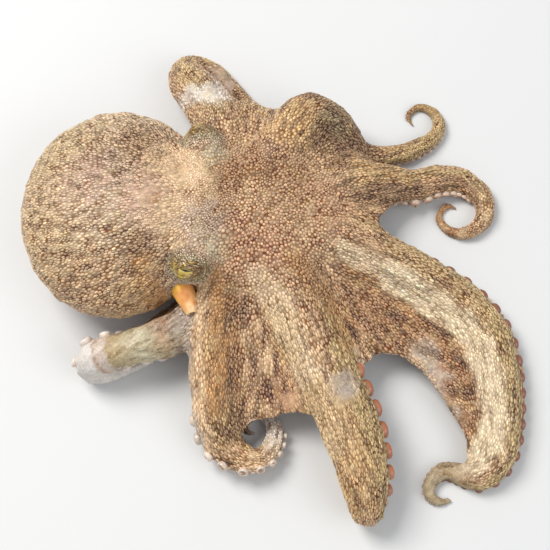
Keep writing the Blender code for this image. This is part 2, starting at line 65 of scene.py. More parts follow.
MANTLE = ((-62.5, 23.2, 23.5), (39.0, 43.5, 25.0))
MANTLE_GAP = 4.2
HEAD_OVALS = {
    "nape": ((-43.0, 23.0, 27.5), (22.0, 20.0, 17.0)),
    "head": ((-30.0, 24.0, 27.0), (19.0, 26.5, 17.0)),
    "shoulder": ((-15.0, 23.0, 25.5), (22.0, 26.0, 13.5)),
    "crown": ((-4.0, 22.0, 23.0), (31.0, 32.0, 14.0)),
}
BROW_RADIUS = 9.4
BROWS = {"right": (-32.0, -1.0, 33.5), "left": (-28.5, 46.5, 33.5)}

# Each arm's route from under the crown to its tip: x, y, height of the middle, half width, and
# roll of the sucker side in degrees where it has one. A height of 0 lays the arm on the floor.
ARMS = {
    "arm_r1": [
        (-5, 21, 26, 11), (10, 18, 24, 11), (28, 13, 20, 10.5), (47, 5, 15, 10), (61, -1, 10, 9.8, -10),
        (74, -9, 0, 9.4, -20), (83, -20, 0, 9.2, -25), (87, -32, 0, 9, -25), (88, -49, 0, 8.6, -25),
        (87, -65, 0, 7.8, -20), (84, -74, 0, 6.8, -10), (78, -79, 0, 5.4), (71, -77, 0, 4.4),
        (65, -76, 0, 3.6), (60.5, -80, 0, 3.2), (59.5, -85, 0, 2.8), (63, -88, 0, 2.2),
        (67.5, -87, 0, 1.3)],
    "arm_r2": [
        (-5, 18, 26, 11), (4, -1, 24, 11), (12, -23, 21, 11), (20, -42, 19, 11.5, -15),
        (27.5, -60, 18, 11.5, -25), (32, -75.5, 17, 10.3, -30), (33.8, -85.5, 15.5, 8.7, -20),
        (34.5, -92.5, 11, 6.7), (33, -91.5, 5, 4.6), (31, -85, 0, 3.6), (27, -76, 0, 2.9),
        (24, -68, 0, 2.2), (24, -61, 0, 1.4)],
    "arm_r3": [
        (-14, 12, 24, 10), (-21, -3, 22, 9.5), (-24, -16, 19, 9), (-25, -31, 15, 9), (-24, -46, 12, 9),
        (-23, -58, 10, 8.6, 10), (-19, -67, 0, 7.8, 50), (-12, -73, 0, 6.6, 85), (-4, -71.5, 0, 5.2, 90),
        (0, -64.5, 0, 4.2, 70), (-1.5, -57, 0, 3.4, 40), (-7, -52.5, 0, 2.7, 20), (-12, -55.5, 0, 2.1),
        (-11, -60.5, 0, 1.6), (-7.5, -61, 0, 1.2)],
    "arm_r4": [
        (-15, 17, 18, 9), (-23, -1, 12, 10), (-32, -13, 11.5, 11.8), (-42, -21.5, 13, 12.2),
        (-50, -27.5, 15.5, 9.4), (-57.5, -31, 16.5, 7.2), (-64, -32.5, 15.5, 7.2, 40),
        (-69.5, -34, 13, 8.4, 75), (-72, -36.5, 7.5, 6.2, 90), (-67, -38, 4, 4.2, 60),
        (-60, -35.5, 0, 3.2, 20), (-52, -32, 0, 2.5), (-45, -28, 0, 1.9), (-42, -22, 0, 1.2)],
    "arm_l1": [
        (-3, 26, 26, 10.5), (14, 33, 22, 10), (31, 39, 18, 9.5), (46, 41, 12, 8.6, 15),
        (58, 43, 0, 7.6, 25), (68, 46, 0, 6.7, 25), (79, 46, 0, 5.7, 15), (87, 40, 0, 4.8),
        (88, 31, 0, 4.1), (82, 24, 0, 3.4), (74, 24, 0, 2.7), (69, 30, 0, 2.1), (72, 36, 0, 1.6),
        (77, 35, 0, 1.2)],
    "arm_l2": [
        (-5, 30, 26, 10), (0, 45, 27, 10.5), (7, 57, 28, 10.5), (14, 65, 26, 10), (22, 66, 20, 9),
        (29, 62.5, 13, 7.6), (36, 59, 0, 6.2), (44, 57.8, 0, 5.2), (52, 59, 0, 4.7), (60, 61.5, 0, 4.3),
        (67, 66, 0, 3.8), (71, 73, 0, 3.3), (69, 80, 0, 2.7), (63, 83, 0, 2.2), (58, 79, 0, 1.7),
        (60, 74, 0, 1.2)],
    "arm_l3": [
        (-11, 32, 24, 9.5), (-16, 47, 22, 10), (-22, 62, 19, 10.5), (-28.5, 76, 16, 10.5),
        (-35, 86, 13, 9.8), (-38, 94, 9, 8.4), (-34.5, 99.5, 0, 6.8), (-27, 97.5, 0, 5.7),
        (-20, 91.5, 0, 4.9), (-13.5, 84.5, 0, 4.1), (-8.5, 77, 0, 3.4), (-6.5, 70.5, 0, 2.8),
        (-9.5, 66.5, 0, 2.3), (-13, 68.5, 0, 1.8), (-13, 73, 0, 1.2)],
    "arm_l4": [
        (-19, 37, 15, 8.5), (-27, 49, 11, 8), (-37, 57.5, 8, 7), (-48, 62, 0, 6.2), (-58, 63.5, 0, 5.8),
        (-68, 62.5, 0, 5.4), (-77, 59.5, 0, 4.8), (-84, 55, 0, 4.2), (-89.5, 49, 0, 3.4),
        (-93.5, 42, 0, 2.5), (-96, 36, 0, 1.8), (-97, 31, 0, 1.2)],
}
BESIDE_MANTLE = ("arm_r4", "arm_l4", "arm_l3")

# Each stretch of web: the two arms it joins, how far it reaches along each, how far its free
# edge draws back between them as a share of that, and the lean of the draw.
WEBS = {
    "web_r3_r2": ("arm_r3", "arm_r2", 84, 86, 0.10, 1.0),
    "web_r2_r1": ("arm_r2", "arm_r1", 86, 176, 0.36, 0.76),
    "web_r1_l1": ("arm_r1", "arm_l1", 88, 68, 0.36, 1.0),
    "web_l1_l2": ("arm_l1", "arm_l2", 70, 88, 0.10, 1.0),
    "web_l2_l3": ("arm_l2", "arm_l3", 58, 68, 0.10, 1.0),
}
WEB_THICKNESS = 3.4
WEB_LIFT = 0.30
WEB_SAG = 0.10
TAUT_SPAN = 14

# The rows of suckers that bulge past an arm's edge: the side (1 left of the way to the tip),
# and the lengths along the arm where they start and end.
EDGE_ROWS = [("arm_r1", 1, 55, 182), ("arm_r2", 1, 38, 128), ("arm_r3", -1, 72, 112),
             ("arm_r3", 1, 74, 112), ("arm_r4", -1, 70, 94), ("arm_r4", 1, 70, 94),
             ("arm_l1", -1, 66, 100), ("arm_l2", 1, 70, 104)]
SUCKER_SHARE = 0.31
SUCKER_PITCH = 0.68
SUCKER_ANGLE = math.radians(38.0)


def unit(v):
    return v / np.linalg.norm(v, axis=-1, keepdims=True)


def smooth_route(points):
    """Even samples of a Catmull-Rom curve through an arm's points, and the run to each.

    Between b and c a point is half of 2b + (c - a)t + (2a - 5b + 4c - d)t2 + (3b - a - 3c + d)t3.
    What lies on the floor is lifted until its underside is pressed flat by FLAT.
    """
    p = np.array([(*point, 0)[:5] for point in points], float)
    lying = FACE_SHARE + (1 - FACE_SHARE) * np.abs(np.sin(np.radians(p[:, 4])))
    p[:, 2] = np.maximum(p[:, 2], lying * p[:, 3] - FLAT)
    ends = np.vstack([2 * p[0] - p[1], p, 2 * p[-1] - p[-2]])[:, None, :]
    a, b, c, d = ends[:-3], ends[1:-2], ends[2:-1], ends[3:]
    t = np.linspace(0, 1, 13)[:-1][None, :, None]
    spans = (2 * b + (c - a) * t + (2 * a - 5 * b + 4 * c - d) * t**2
             + (3 * b - a - 3 * c + d) * t**3) / 2
    fine = np.vstack([spans.reshape(-1, 5), p[-1:]])
    steps = np.linalg.norm(np.diff(fine[:, :3], axis=0), axis=1)
    run = np.concatenate([[0], np.cumsum(steps)])
    even = np.linspace(0, run[-1], round(run[-1] / STEP) + 1)
    return np.column_stack([np.interp(even, run, column) for column in fine.T]), even


def arm_frames(route):
    """Along the arm, towards its sucker face and sideways, at each sample.

    The face turns as little as it can from straight down, and then rolls by the route's angle.
    """
    along = unit(np.gradient(route[:, :3], axis=0))
    face = np.array([0.0, 0.0, -1.0])
    faces = []
    for a in along:
        face = unit(face - a * (a @ face))
        faces.append(face)
    faces = np.array(faces)
    roll = np.radians(route[:, 4])[:, None]
    faces = np.cos(roll) * faces + np.sin(roll) * np.cross(faces, along)
    return along, faces, np.cross(along, faces)


def turns(count):
    """Even angles once round."""
    return np.linspace(0, 2 * math.pi, count, endpoint=False)


def arm_grid(name, route):
    """Rings round a route, closed at both ends.

    A ring's point is middle + radius * (cos * side + share * sin * face), with less height
    towards the suckers than towards the back.
    """
    along, face, side = arm_frames(route)
    turn = turns(ROUND)
    share = np.where(np.sin(turn) > 0, FACE_SHARE, BACK_SHARE)
    radius = np.maximum(route[:, 3] - COAT, 0.8)
    ring = np.cos(turn)[:, None] * side[:, None] + (share * np.sin(turn))[:, None] * face[:, None]
    grid = route[:, None, :3] + radius[:, None, None] * ring
    tip = route[-1, :3] + TIP_ROUNDING * radius[-1] * along[-1]
    closing = np.ones((1, ROUND, 1))
    grid = np.concatenate([closing * route[0, :3], grid, closing * tip])
    if name not in BESIDE_MANTLE:
        return grid
    # Points in or too near the mantle move straight out from its middle.
    reach = np.array(MANTLE[1]) + MANTLE_GAP
    out = (grid - MANTLE[0]) / reach
    far = np.linalg.norm(out, axis=-1, keepdims=True)
    return MANTLE[0] + out / np.minimum(far, 1.0) * reach


def oval_grid(middle, half, around=32, rows=20):
    """An oval: middle + half sizes * (sin(polar) cos(turn), sin(polar) sin(turn), cos(polar))."""
    turn = turns(around)[None, :]
    polar = np.linspace(0, math.pi, rows)[:, None]
    across = np.sin(polar)
    ball = np.stack([across * np.cos(turn), across * np.sin(turn), np.cos(polar) + 0 * turn], -1)
    return np.array(middle) + np.array(half) * ball


def along_route(route, run, lengths):
    """The route's place, half width and roll at lengths along it."""
    return np.stack([np.interp(lengths, run, column) for column in route.T], -1)


def web_grid(first, second, depth_a, depth_b, draw, lean):
    """A sheet from one arm's middle to the next, sagging between them, with a rounded free edge.

    Rows run out along the arms by depth * u * (1 - draw * sin(pi v**lean)**1.3), and columns
    run across on top, v from 0 to 1, and back below.
    """
    u = np.linspace(0, 1, 40)[:, None]
    v = np.linspace(0, 1, 33)[None, :]
    reach = u * (1 - draw * np.sin(math.pi * v**lean) ** 1.3)
    a = along_route(*arms[first][:2], reach * depth_a)
    b = along_route(*arms[second][:2], reach * depth_b)
    v = v[..., None]
    middle = (1 - v) * a[..., :3] + v * b[..., :3]
    radius = ((1 - v) * a[..., 3:4] + v * b[..., 3:4])[..., 0]
    span = np.linalg.norm(a[..., :2] - b[..., :2], axis=-1)
    sag = WEB_SAG * np.maximum(span - TAUT_SPAN, 0) * np.sin(math.pi * v[..., 0])
    middle[..., 2] += WEB_LIFT * radius - sag
    middle[..., 2] = np.maximum(middle[..., 2], WEB_THICKNESS / 2)
    half = WEB_THICKNESS / 2 - COAT
    up = np.zeros_like(middle)
    up[..., 2] = half * np.sqrt(1 - 0.6 * ((u - 0.9) / 0.1).clip(0) ** 2) + 0 * reach
    grid = np.concatenate([middle + up, (middle - up)[:, ::-1]], axis=1)
    closing = np.concatenate([middle, middle[:, ::-1]], axis=1)
    return np.concatenate([closing[:1], grid, closing[-1:]])


def edge_sucker_grids(name, sign, start, end):
    """Small balls half sunk along an edge of an arm, each as large as the arm there allows."""
    route, run, along, face, side = arms[name]
    out = sign * math.cos(SUCKER_ANGLE) * side + FACE_SHARE * math.sin(SUCKER_ANGLE) * face
    edge = route[:, :3] + route[:, 3:4] * out
    grids = []
    length = start
    while length < end:
        radius = SUCKER_SHARE * np.interp(length, run, route[:, 3])
        grids.append(oval_grid(along_route(edge, run, length), (radius - COAT / 2,) * 3, 12, 8))
        length += SUCKER_PITCH / SUCKER_SHARE * radius
    return grids


def new_piece(name, points, faces):
    """A mesh object from points in millimetres and lists of corner numbers."""
    mesh = bpy.data.meshes.new(name)
    mesh.from_pydata(((points + SHIFT) * MM).tolist(), [], faces)
    mesh.shade_smooth()
    piece = bpy.data.objects.new(name, mesh)
    bpy.context.scene.collection.objects.link(piece)
    return piece


def grid_faces(rows, columns, first=0):
    """The quads of a grid that closes round its columns."""
    i, j = np.meshgrid(np.arange(rows - 1), np.arange(columns), indexing="ij")
    here = first + i * columns + j
    beside = first + i * columns + (j + 1) % columns
    return np.stack([here, beside, beside + columns, here + columns], -1).reshape(-1, 4)


def closed_grids(name, grids):
    """Many closed grids as one mesh."""
    firsts = np.cumsum([0] + [grid.shape[0] * grid.shape[1] for grid in grids])
    faces = [grid_faces(*grid.shape[:2], first) for grid, first in zip(grids, firsts)]
    return new_piece(name, np.vstack([grid.reshape(-1, 3) for grid in grids]), np.vstack(faces).tolist())


arms = {}
for name, points in ARMS.items():
    route, run = smooth_route(points)
    arms[name] = (route, run, *arm_frames(route))

grids = [arm_grid(name, arm[0]) for name, arm in arms.items()]
grids += [web_grid(*spec) for spec in WEBS.values()]
for row in EDGE_ROWS:
    grids += edge_sucker_grids(*row)
grids.append(oval_grid(MANTLE[0], np.array(MANTLE[1]) - COAT, 64, 40))
grids += [oval_grid(middle, np.array(half) - COAT) for middle, half in HEAD_OVALS.values()]
grids += [oval_grid(middle, (BROW_RADIUS - COAT,) * 3) for middle in BROWS.values()]

# --- The skin ---------------------------------------------------------------------------------
# The hide that covers all of it without a seam. The grids are fused on a fine lattice, evened
# out, worked finer round the eyes, and then folded and creased.
LATTICE = 1.10
EVENINGS = 5
EVENING_SHARES = (0.55, -0.57)
VALLEY_ROUNDS = 78
ELSEWHERE = 0.04
EYES = {"right": (-0.25, -0.8, 0.55), "left": (-0.15, 0.8, 0.55)}
EYE_FORWARD = 3.2
EYE_RADIUS = 6.4
FINE_REACH = 12.5
LID_REACHES = (7.8, 5.0)
WAVES = 28


def read(things, name, kind=np.float32, width=3):
    """One property of all of a mesh's things, as rows of numbers."""
    flat = np.empty(len(things) * width, kind)
    things.foreach_get(name, flat)
    return flat.reshape(-1, width)


def points_of(piece):
    """A mesh's corners in millimetres, about the middle that the routes are drawn from."""
    return read(piece.data.vertices, "co").astype(float) / MM - SHIFT


def set_points(piece, points):
    piece.data.vertices.foreach_set("co", ((points + SHIFT) * MM).astype(np.float32).ravel())
    piece.data.update()


def normals_of(piece):
    return read(piece.data.vertices, "normal").astype(float)


def bake_shape(piece):
    """Makes a piece's modifiers into its mesh."""
    graph = bpy.context.evaluated_depsgraph_get()
    mesh = bpy.data.meshes.new_from_object(piece.evaluated_get(graph))
    piece.modifiers.clear()
    piece.data = mesh
    mesh.name = piece.name


def smooth(low, high, value):
    """0 below low, 1 above high, and 3t2 - 2t3 between."""
    t = np.clip((value - low) / (high - low), 0, 1)
    return t * t * (3 - 2 * t)


def towards_neighbours(piece):
    """A function that gives each corner's way to the mean of its neighbours."""
    count = len(piece.data.vertices)
    a, b = read(piece.data.edges, "vertices", np.int32, 2).T
    degree = np.bincount(np.concatenate([a, b]), minlength=count)[:, None]

    def way(points):
        total = [np.bincount(a, points[b, k], count) + np.bincount(b, points[a, k], count)
                 for k in range(3)]
        return np.column_stack(total) / degree - points

    return way


def even_out(piece, rounds):
    """Each corner moves by a share of its way to its neighbours' mean, then back by another."""
    way = towards_neighbours(piece)
    points = points_of(piece)
    for share in EVENING_SHARES * rounds:
        points += share * way(points)
    set_points(piece, points)


def fill_valleys(piece, rounds, least, weight):
    """Corners that lie in a hollow move out towards their neighbours' mean, so that flesh fills
    the valleys where weight is 1. All others move by the share that is least."""
    way = towards_neighbours(piece)
    points = points_of(piece)
    share = weight(points)[:, None]
    for turn in range(rounds):
        if turn % 8 == 0:
            normals = normals_of(piece)
        step = way(points)
        hollow = np.sum(step * normals, axis=1, keepdims=True) > 0
        points += 0.6 * step * share * np.where(hollow, 1.0, least)
        if turn % 8 == 7:
            set_points(piece, points)
    set_points(piece, points)


skin = closed_grids("skin", grids)
fuse = skin.modifiers.new("fuse", "REMESH")
fuse.mode = "VOXEL"
fuse.voxel_size = LATTICE * MM
bake_shape(skin)
even_out(skin, EVENINGS)
fill_valleys(skin, VALLEY_ROUNDS, ELSEWHERE, lambda points: 1 - smooth(
    38, 78, np.hypot(points[:, 0] + 12, points[:, 1] - 20)) * 0.9)


def worked_finer(piece, middles, reaches):
    """Halves the edges of all faces that lie within each reach of some points, in turn."""
    mesh = bmesh.new()
    mesh.from_mesh(piece.data)
    near = [Vector((middle + SHIFT) * MM) for middle in middles]
    for reach in reaches:
        edges = [edge for edge in mesh.edges
                 if min((edge.verts[0].co - middle).length for middle in near) < reach * MM]
        bmesh.ops.subdivide_edges(mesh, edges=edges, cuts=1, use_grid_fill=True)
    mesh.to_mesh(piece.data)
    mesh.free()
    piece.data.shade_smooth()


def waves(points, size, seed):
    """A soft, random field of about -1 to 1: the mean of cosine waves about size mm long that run
    every way, each with its own phase."""
    draw = np.random.default_rng(seed)
    ways = unit(draw.normal(size=(WAVES, 3))) * 2 * math.pi / (size * draw.uniform(0.7, 1.5, (WAVES, 1)))
    phases = draw.uniform(0, 2 * math.pi, WAVES)
    return np.cos(points @ ways.T + phases).sum(axis=1) * math.sqrt(1.2 / WAVES)


samples = np.vstack([arm[0] for arm in arms.values()])
sample_run = np.concatenate([arm[1] for arm in arms.values()])
sample_along, sample_face, sample_side = (
    np.vstack([arm[k] for arm in arms.values()]) for k in (2, 3, 4))
sample_arm = np.repeat(np.arange(len(arms)), [len(arm[0]) for arm in arms.values()])


def on_arms(points):
    """Each point's arm, its length along it, and its place across it in half widths, sideways and
    towards the suckers. The arm is that of the sample with the least distance by half width."""
    nearest = []
    for some in np.array_split(points.astype(np.float32), 12):
        square = ((some**2).sum(axis=1)[:, None] - 2 * some @ samples[:, :3].T.astype(np.float32)
                  + (samples[:, :3] ** 2).sum(axis=1).astype(np.float32))
        nearest.append(np.argmin(square / (samples[:, 3] + 0.5) ** 2, axis=1))
    nearest = np.concatenate(nearest)
    off = points - samples[nearest, :3]
    ahead = (off * sample_along[nearest]).sum(axis=1)
    width = samples[nearest, 3]
    sideways = (off * sample_side[nearest]).sum(axis=1) / width
    below = (off * sample_face[nearest]).sum(axis=1) / width
    return nearest, sample_run[nearest] + ahead, sideways, below


# --- Folds, creases and eyelids ---------------------------------------------------------------
# Loose hide wrinkles lengthwise on the arms, swells over the muscle, and puckers in rings round
# each eye, whose opening is a level slit.
LID_WIDE = math.radians(25)
LID_HIGH = math.radians(9)
LID_LOOK = {"right": (-0.16, -0.64, 0.75), "left": (-0.10, 0.66, 0.74)}
CROWN = (-8.0, 22.0)
NAPE = (-24.0, 21.0, 20.0)
MANTLE_EDGE = 1.03

eye_middles = {name: np.array(BROWS[name]) + EYE_FORWARD * unit(np.array(EYES[name])) for name in EYES}
lid_middles = [eye_middles[name] + EYE_RADIUS * unit(np.array(LID_LOOK[name])) for name in EYES]
worked_finer(skin, list(eye_middles.values()), (FINE_REACH,))
worked_finer(skin, lid_middles, LID_REACHES)
even_out(skin, 2)


def round_crown(points):
    """Each point's angle round the crown and distance from it, seen from above."""
    x, y = points[:, 0] - CROWN[0], points[:, 1] - CROWN[1]
    return np.arctan2(y, x), np.hypot(y, x)


def off_mantle(points):
    """How far points lie from the mantle's middle, by its half sizes: 1 on its outside."""
    return np.linalg.norm((points - MANTLE[0]) / np.array(MANTLE[1]), axis=1)


def ridges(points, length, sideways, below, width, arm_share, mantle_share, web_share):
    """Waves drawn out lengthwise on the arms, and away from the neck and the crown elsewhere."""
    on_arm = waves(np.column_stack([length / 11, sideways * width, below * width]), 1.5, 3)
    back = points - NAPE
    fan = np.arctan2(back[:, 1], -back[:, 0])
    spread = np.column_stack([np.hypot(back[:, 0], back[:, 1]) / 5, fan * 32, back[:, 2] / 2])
    angle, far = round_crown(points)
    on_web = waves(np.column_stack([angle * 50, far / 9, 0 * far]), 1.9, 31)
    return arm_share * on_arm + mantle_share * waves(spread, 1.5, 21) + web_share * on_web


points = points_of(skin)
normals = normals_of(skin)
nearest, length, sideways, below = on_arms(points)
width = samples[nearest, 3]
apart = np.hypot(sideways, below)
on_mantle = 1 - smooth(MANTLE_EDGE, 1.10, off_mantle(points))
on_arm = (1 - smooth(1.05, 1.35, apart)) * smooth(24, 38, length) * (1 - on_mantle)

swell = 0.28 * waves(points, 13, 1) + 0.14 * waves(points, 5, 2)
around_crown, from_crown = round_crown(points)
on_web = (1 - on_arm) * (1 - on_mantle) * smooth(28, 45, from_crown)
wrinkle = ridges(points, length, sideways, below, width, 0.26 * on_arm * smooth(2.0, 5.0, width),
                 0.14 * on_mantle, 0.16 * on_web)
web_fold = 0.45 * on_web * waves(np.column_stack([around_crown * 40, from_crown / 7, 0 * from_crown]), 6.5, 4)
points += normals * (swell * (1 - 0.4 * on_arm) + wrinkle + web_fold)[:, None]


def round_eye(name, off):
    """How far steps from an eye's middle go, their angle from its look, and that angle by the
    opening's: 1 on its rim and less inside it."""
    look = unit(np.array(LID_LOOK[name]))
    level = unit(np.cross(look, (0.0, 0.0, 1.0)))
    far = np.linalg.norm(off, axis=1)
    angle = np.arccos(np.clip(off @ look / far, -1, 1))
    round_it = np.arctan2(off @ np.cross(level, look), off @ level)
    return far, angle, angle * np.hypot(np.cos(round_it) / LID_WIDE, np.sin(round_it) / LID_HIGH)


def eye_folds(points, rim):
    """The rings of folds round an eye's opening: 1 on a ridge, -1 in a trough."""
    return np.cos(2 * math.pi * (rim - 1.5) / 1.7 + 2.2 * waves(points, 4, 6))


for name, middle in eye_middles.items():
    off = points - middle
    far, angle, rim = round_eye(name, off)
    near = (1 - smooth(9.5, FINE_REACH, far)) * (1 - smooth(1.35, 1.95, angle))
    lid = EYE_RADIUS + 0.5 + 0.3 * np.exp(-(((rim - 1.5) / 0.35) ** 2))
    lid += np.maximum(far - lid, -0.3) * smooth(1.6, 5.5, rim)
    pucker = 0.42 * (1 + 0.7 * waves(points, 4, 5)) * eye_folds(points, rim)
    pucker *= smooth(1.5, 2.2, rim) * np.exp(-(rim - 1.5) / 3.5)
    opened = smooth(0.85, 1.15, rim)
    target = opened * (lid + pucker) + (1 - opened) * (EYE_RADIUS - 0.7)
    points = points + off / far[:, None] * ((target - far) * near)[:, None]

# The neck's crease, where the mantle's edge lies over the head.
neck = np.abs(off_mantle(points) - MANTLE_EDGE) / 0.05
points -= normals * (0.7 * np.exp(-(neck**2)) * smooth(-46, -40, points[:, 0]))[:, None]

# What lies on the floor is pressed flat; arms stand on their suckers, a little above it.
floor_gap = 0.06 + 0.8 * on_arm * smooth(0.1, 0.5, below) * smooth(1.6, 3.0, width)
points[:, 2] = np.maximum(points[:, 2], floor_gap)
set_points(skin, points)

# --- The hide's colours -----------------------------------------------------------------------
# Pigment lies in brown sacs between pale granules, so every place has a pale tone, on the
# granules, and a deep one, in the net between them. The sucker side is pale and bare. Painted
# shade darkens the wrinkles' troughs, and painted light brightens their crests.
TONES = {
    "beige": ((0.567, 0.377, 0.222), (0.183, 0.065, 0.015)),
    "pink": ((0.603, 0.4, 0.287), (0.275, 0.104, 0.035)),
    "cream": ((0.678, 0.474, 0.291), (0.302, 0.131, 0.038)),
    "bright": ((0.8, 0.645, 0.44), (0.42, 0.3, 0.165)),
    "olive": ((0.511, 0.369, 0.181), (0.125, 0.052, 0.009)),
    "brown": ((0.438, 0.264, 0.147), (0.11, 0.041, 0.012)),
    "dark": ((0.3, 0.182, 0.104), (0.076, 0.03, 0.01)),
    "red": ((0.55, 0.307, 0.181), (0.144, 0.047, 0.015)),
    "rust": ((0.45, 0.241, 0.098), (0.2, 0.077, 0.019)),
    "gold": ((0.585, 0.379, 0.172), (0.195, 0.07, 0.014)),
    "green": ((0.418, 0.384, 0.229), (0.068, 0.039, 0.008)),
    "lilac": ((0.491, 0.368, 0.286), (0.141, 0.082, 0.047)),
    "lavender": ((0.455, 0.369, 0.302), (0.242, 0.167, 0.119)),
    "mist": ((0.559, 0.498, 0.345), (0.368, 0.27, 0.139)),
    "straw": ((0.604, 0.483, 0.269), (0.361, 0.184, 0.05)),
    "white": ((0.74, 0.69, 0.635), (0.56, 0.49, 0.43)),
    "yellow": ((0.502, 0.37, 0.054), (0.304, 0.2, 0.022)),
    "shell": ((0.565, 0.458, 0.321), (0.186, 0.104, 0.043)),
    "putty": ((0.47, 0.4, 0.27), (0.27, 0.2, 0.11)),
    "umber": ((0.36, 0.2, 0.1), (0.125, 0.042, 0.012)),
}
# Along each arm: its back, its left edge on the way to the tip, its right edge, and its tip.
ARM_TONES = {
    "arm_r1": ("beige", "olive", "brown", "putty"),
    "arm_r2": ("beige", "olive", "gold", "straw"),
    "arm_r3": ("gold", "dark", "cream", "white"),
    "arm_r4": ("mist", "mist", "lavender", "white"),
    "arm_l1": ("olive", "brown", "brown", "beige"),
    "arm_l2": ("gold", "dark", "olive", "olive"),
    "arm_l3": ("olive", "beige", "brown", "beige"),
    "arm_l4": ("olive", "beige", "beige", "beige"),
}
# Cloudy patches on the upper side: tone, x, y, how far it reaches, how fully it covers, and how
# dark the net is there, from 0, as pale as the granules, to 1.
PATCHES = [
    ("shell", -70, 34, 40, 0.7, 0.72), ("cream", -84, 22, 22, 0.3, 0.55),
    ("olive", -88, 46, 20, 0.45, 0.45), ("olive", -92, 4, 18, 0.3, 0.5), ("brown", -58, 38, 17, 0.4, 1.0),
    ("dark", -49, 42, 13, 0.6, 1.1), ("dark", -50, 0, 10, 0.55, 1.05), ("dark", -68.8, 33, 9, 0.5, 1.0),
    ("rust", -49, -6, 6, 0.8, 0.8), ("lilac", -66, 28, 14, 0.45, 0.7), ("gold", -50, -15, 9, 0.75, 0.55),
    ("pink", -48, 20, 13, 0.85, 0.12), ("pink", -74, 27, 13, 0.45, 0.5),
    ("cream", -37, 35, 12, 0.95, 0.08), ("cream", -27, 32, 8, 0.8, 0.2), ("cream", -38, 14, 11, 0.9, 0.1),
    ("lilac", -27, 10, 10, 0.75, 0.6), ("mist", -22, 3, 6, 0.75, 0.25), ("mist", -24, 42, 6, 0.6, 0.3),
    ("umber", -17, 34, 8, 0.75, 1.1), ("brown", -19, 27, 5, 0.6, 1.0), ("umber", 4, 36, 10, 0.6, 1.1),
    ("umber", -6, 40, 9, 0.75, 1.1), ("red", -8, 3, 15, 0.75, 0.95), ("brown", 4, 26, 11, 0.5, 0.9),
    ("brown", 15, -10, 13, 0.65, 0.95), ("umber", 34, -12, 12, 0.65, 1.1),
    ("umber", 46, -25, 10, 0.65, 1.1), ("umber", 47, 20, 12, 0.5, 1.05),
    ("brown", 42, -18, 13, 0.6, 0.95), ("brown", 0, 45, 9, 0.6, 1.0), ("dark", 30, 57, 16, 0.9, 1.1),
    ("brown", -22, -66, 12, 0.6, 1.0), ("green", 26, 66, 8, 0.5, 0.9), ("gold", 6, 56, 10, 0.8, 0.6),
    ("dark", 46, 36, 8, 0.55, 1.0), ("red", 22, 24, 12, 0.5, 0.8), ("gold", 39, 45, 9, 0.5, 0.6),
    ("dark", -15, -17, 7, 0.7, 1.0), ("olive", -20, -60, 10, 0.6, 0.7), ("red", 64, -28, 8, 0.85, 1.0),
    ("lavender", 61, -31, 8, 0.9, 0.45), ("umber", 55, -18, 9, 0.7, 1.1),
    ("umber", 44, -12, 10, 0.6, 1.1), ("lavender", 66, -42, 7, 0.8, 0.5),
    ("red", 69.5, -45, 4, 0.85, 0.9), ("red", 69, -35, 5, 0.8, 0.9), ("lavender", 70, -58, 7, 0.8, 0.5),
    ("brown", 73, -48, 6, 0.5, 0.9), ("white", -26, 77, 7, 0.7, 0.1), ("lilac", -23, 92, 7, 0.8, 0.2),
    ("white", -36, 77, 5, 0.6, 0.1), ("olive", -6, 76, 11, 0.6, 0.9), ("brown", -12, 66, 8, 0.5, 1.0),
    ("lavender", 24.5, -50, 7, 1.0, 0.15), ("red", 5, -48, 10, 0.6, 0.6), ("dark", -6, -46, 7, 0.7, 1.0),
    ("lavender", -34, -35, 5, 0.8, 0.2), ("lavender", -33, -47, 5, 0.8, 0.2),
    ("lavender", -42, -19, 11, 0.85, 0.5), ("brown", -46, -25, 5, 0.5, 0.6),
    ("mist", -55, -31, 9, 0.9, 0.3), ("beige", -43, -30, 4, 0.6, 0.5), ("rust", -46, -15, 7, 0.9, 0.7),
    ("dark", -13, -62, 7, 0.7, 1.0),
]
# Soft stripes: tone, half width, how fully they cover, the net's darkness, and the places (x, y)
# that they run through.
STRIPES = [
    ("rust", 5.5, 0.55, 0.9, [(8, 0), (16, -10), (25, -22), (28, -30)]),
    ("rust", 4.5, 0.6, 0.9, [(32, 0), (45, -4), (61, -18), (68.5, -28)]),
    ("umber", 4.2, 0.85, 1.1, [(58, -16), (68, -25), (73, -38), (76, -52), (75.5, -66)]),
    ("olive", 5.0, 0.6, 0.85, [(48, 8), (62, 0), (76, -10), (86, -24), (91, -38), (92, -54)]),
    ("bright", 3.6, 0.75, 0.45, [(27, 6), (36, 2.5), (46, -2), (60, -9.5)]),
    ("bright", 5.4, 0.95, 0.35, [(46, -2), (60, -9.5), (76.5, -22), (83, -38), (84.5, -54), (82.5, -66),
        (75, -74)]),
    ("umber", 2.8, 0.9, 1.05, [(-17, -8), (-16, -24), (-14.5, -42), (-13, -51)]),
    ("rust", 4.2, 0.95, 0.4, [(-23, -7), (-21.3, -18.7), (-21.3, -30), (-22, -42), (-23, -55)]),
    ("umber", 1.6, 0.7, 0.9, [(-18.5, -12), (-18.2, -20), (-18.8, -27)]),
    ("cream", 3.8, 0.85, 0.4, [(-30, -9), (-30.5, -25), (-31, -40), (-30, -55), (-26, -68)]),
    ("lavender", 3.2, 0.85, 0.3, [(-34, -9), (-35, -25), (-35.5, -40), (-34, -55), (-30, -66)]),
    ("bright", 5.0, 0.55, 0.45, [(-6.6, -6), (0.3, -16), (6.7, -31), (12.3, -44), (18, -58), (23, -70)]),
    ("gold", 6.5, 0.6, 0.45, [(17, -52), (26, -66), (31, -78), (33, -90)]),
    ("dark", 3.0, 0.7, 1.0, [(17, 69), (27, 66), (35, 63)]),
    ("gold", 3.0, 0.7, 0.6, [(33, 45), (45, 42.5), (55, 42)]),
]
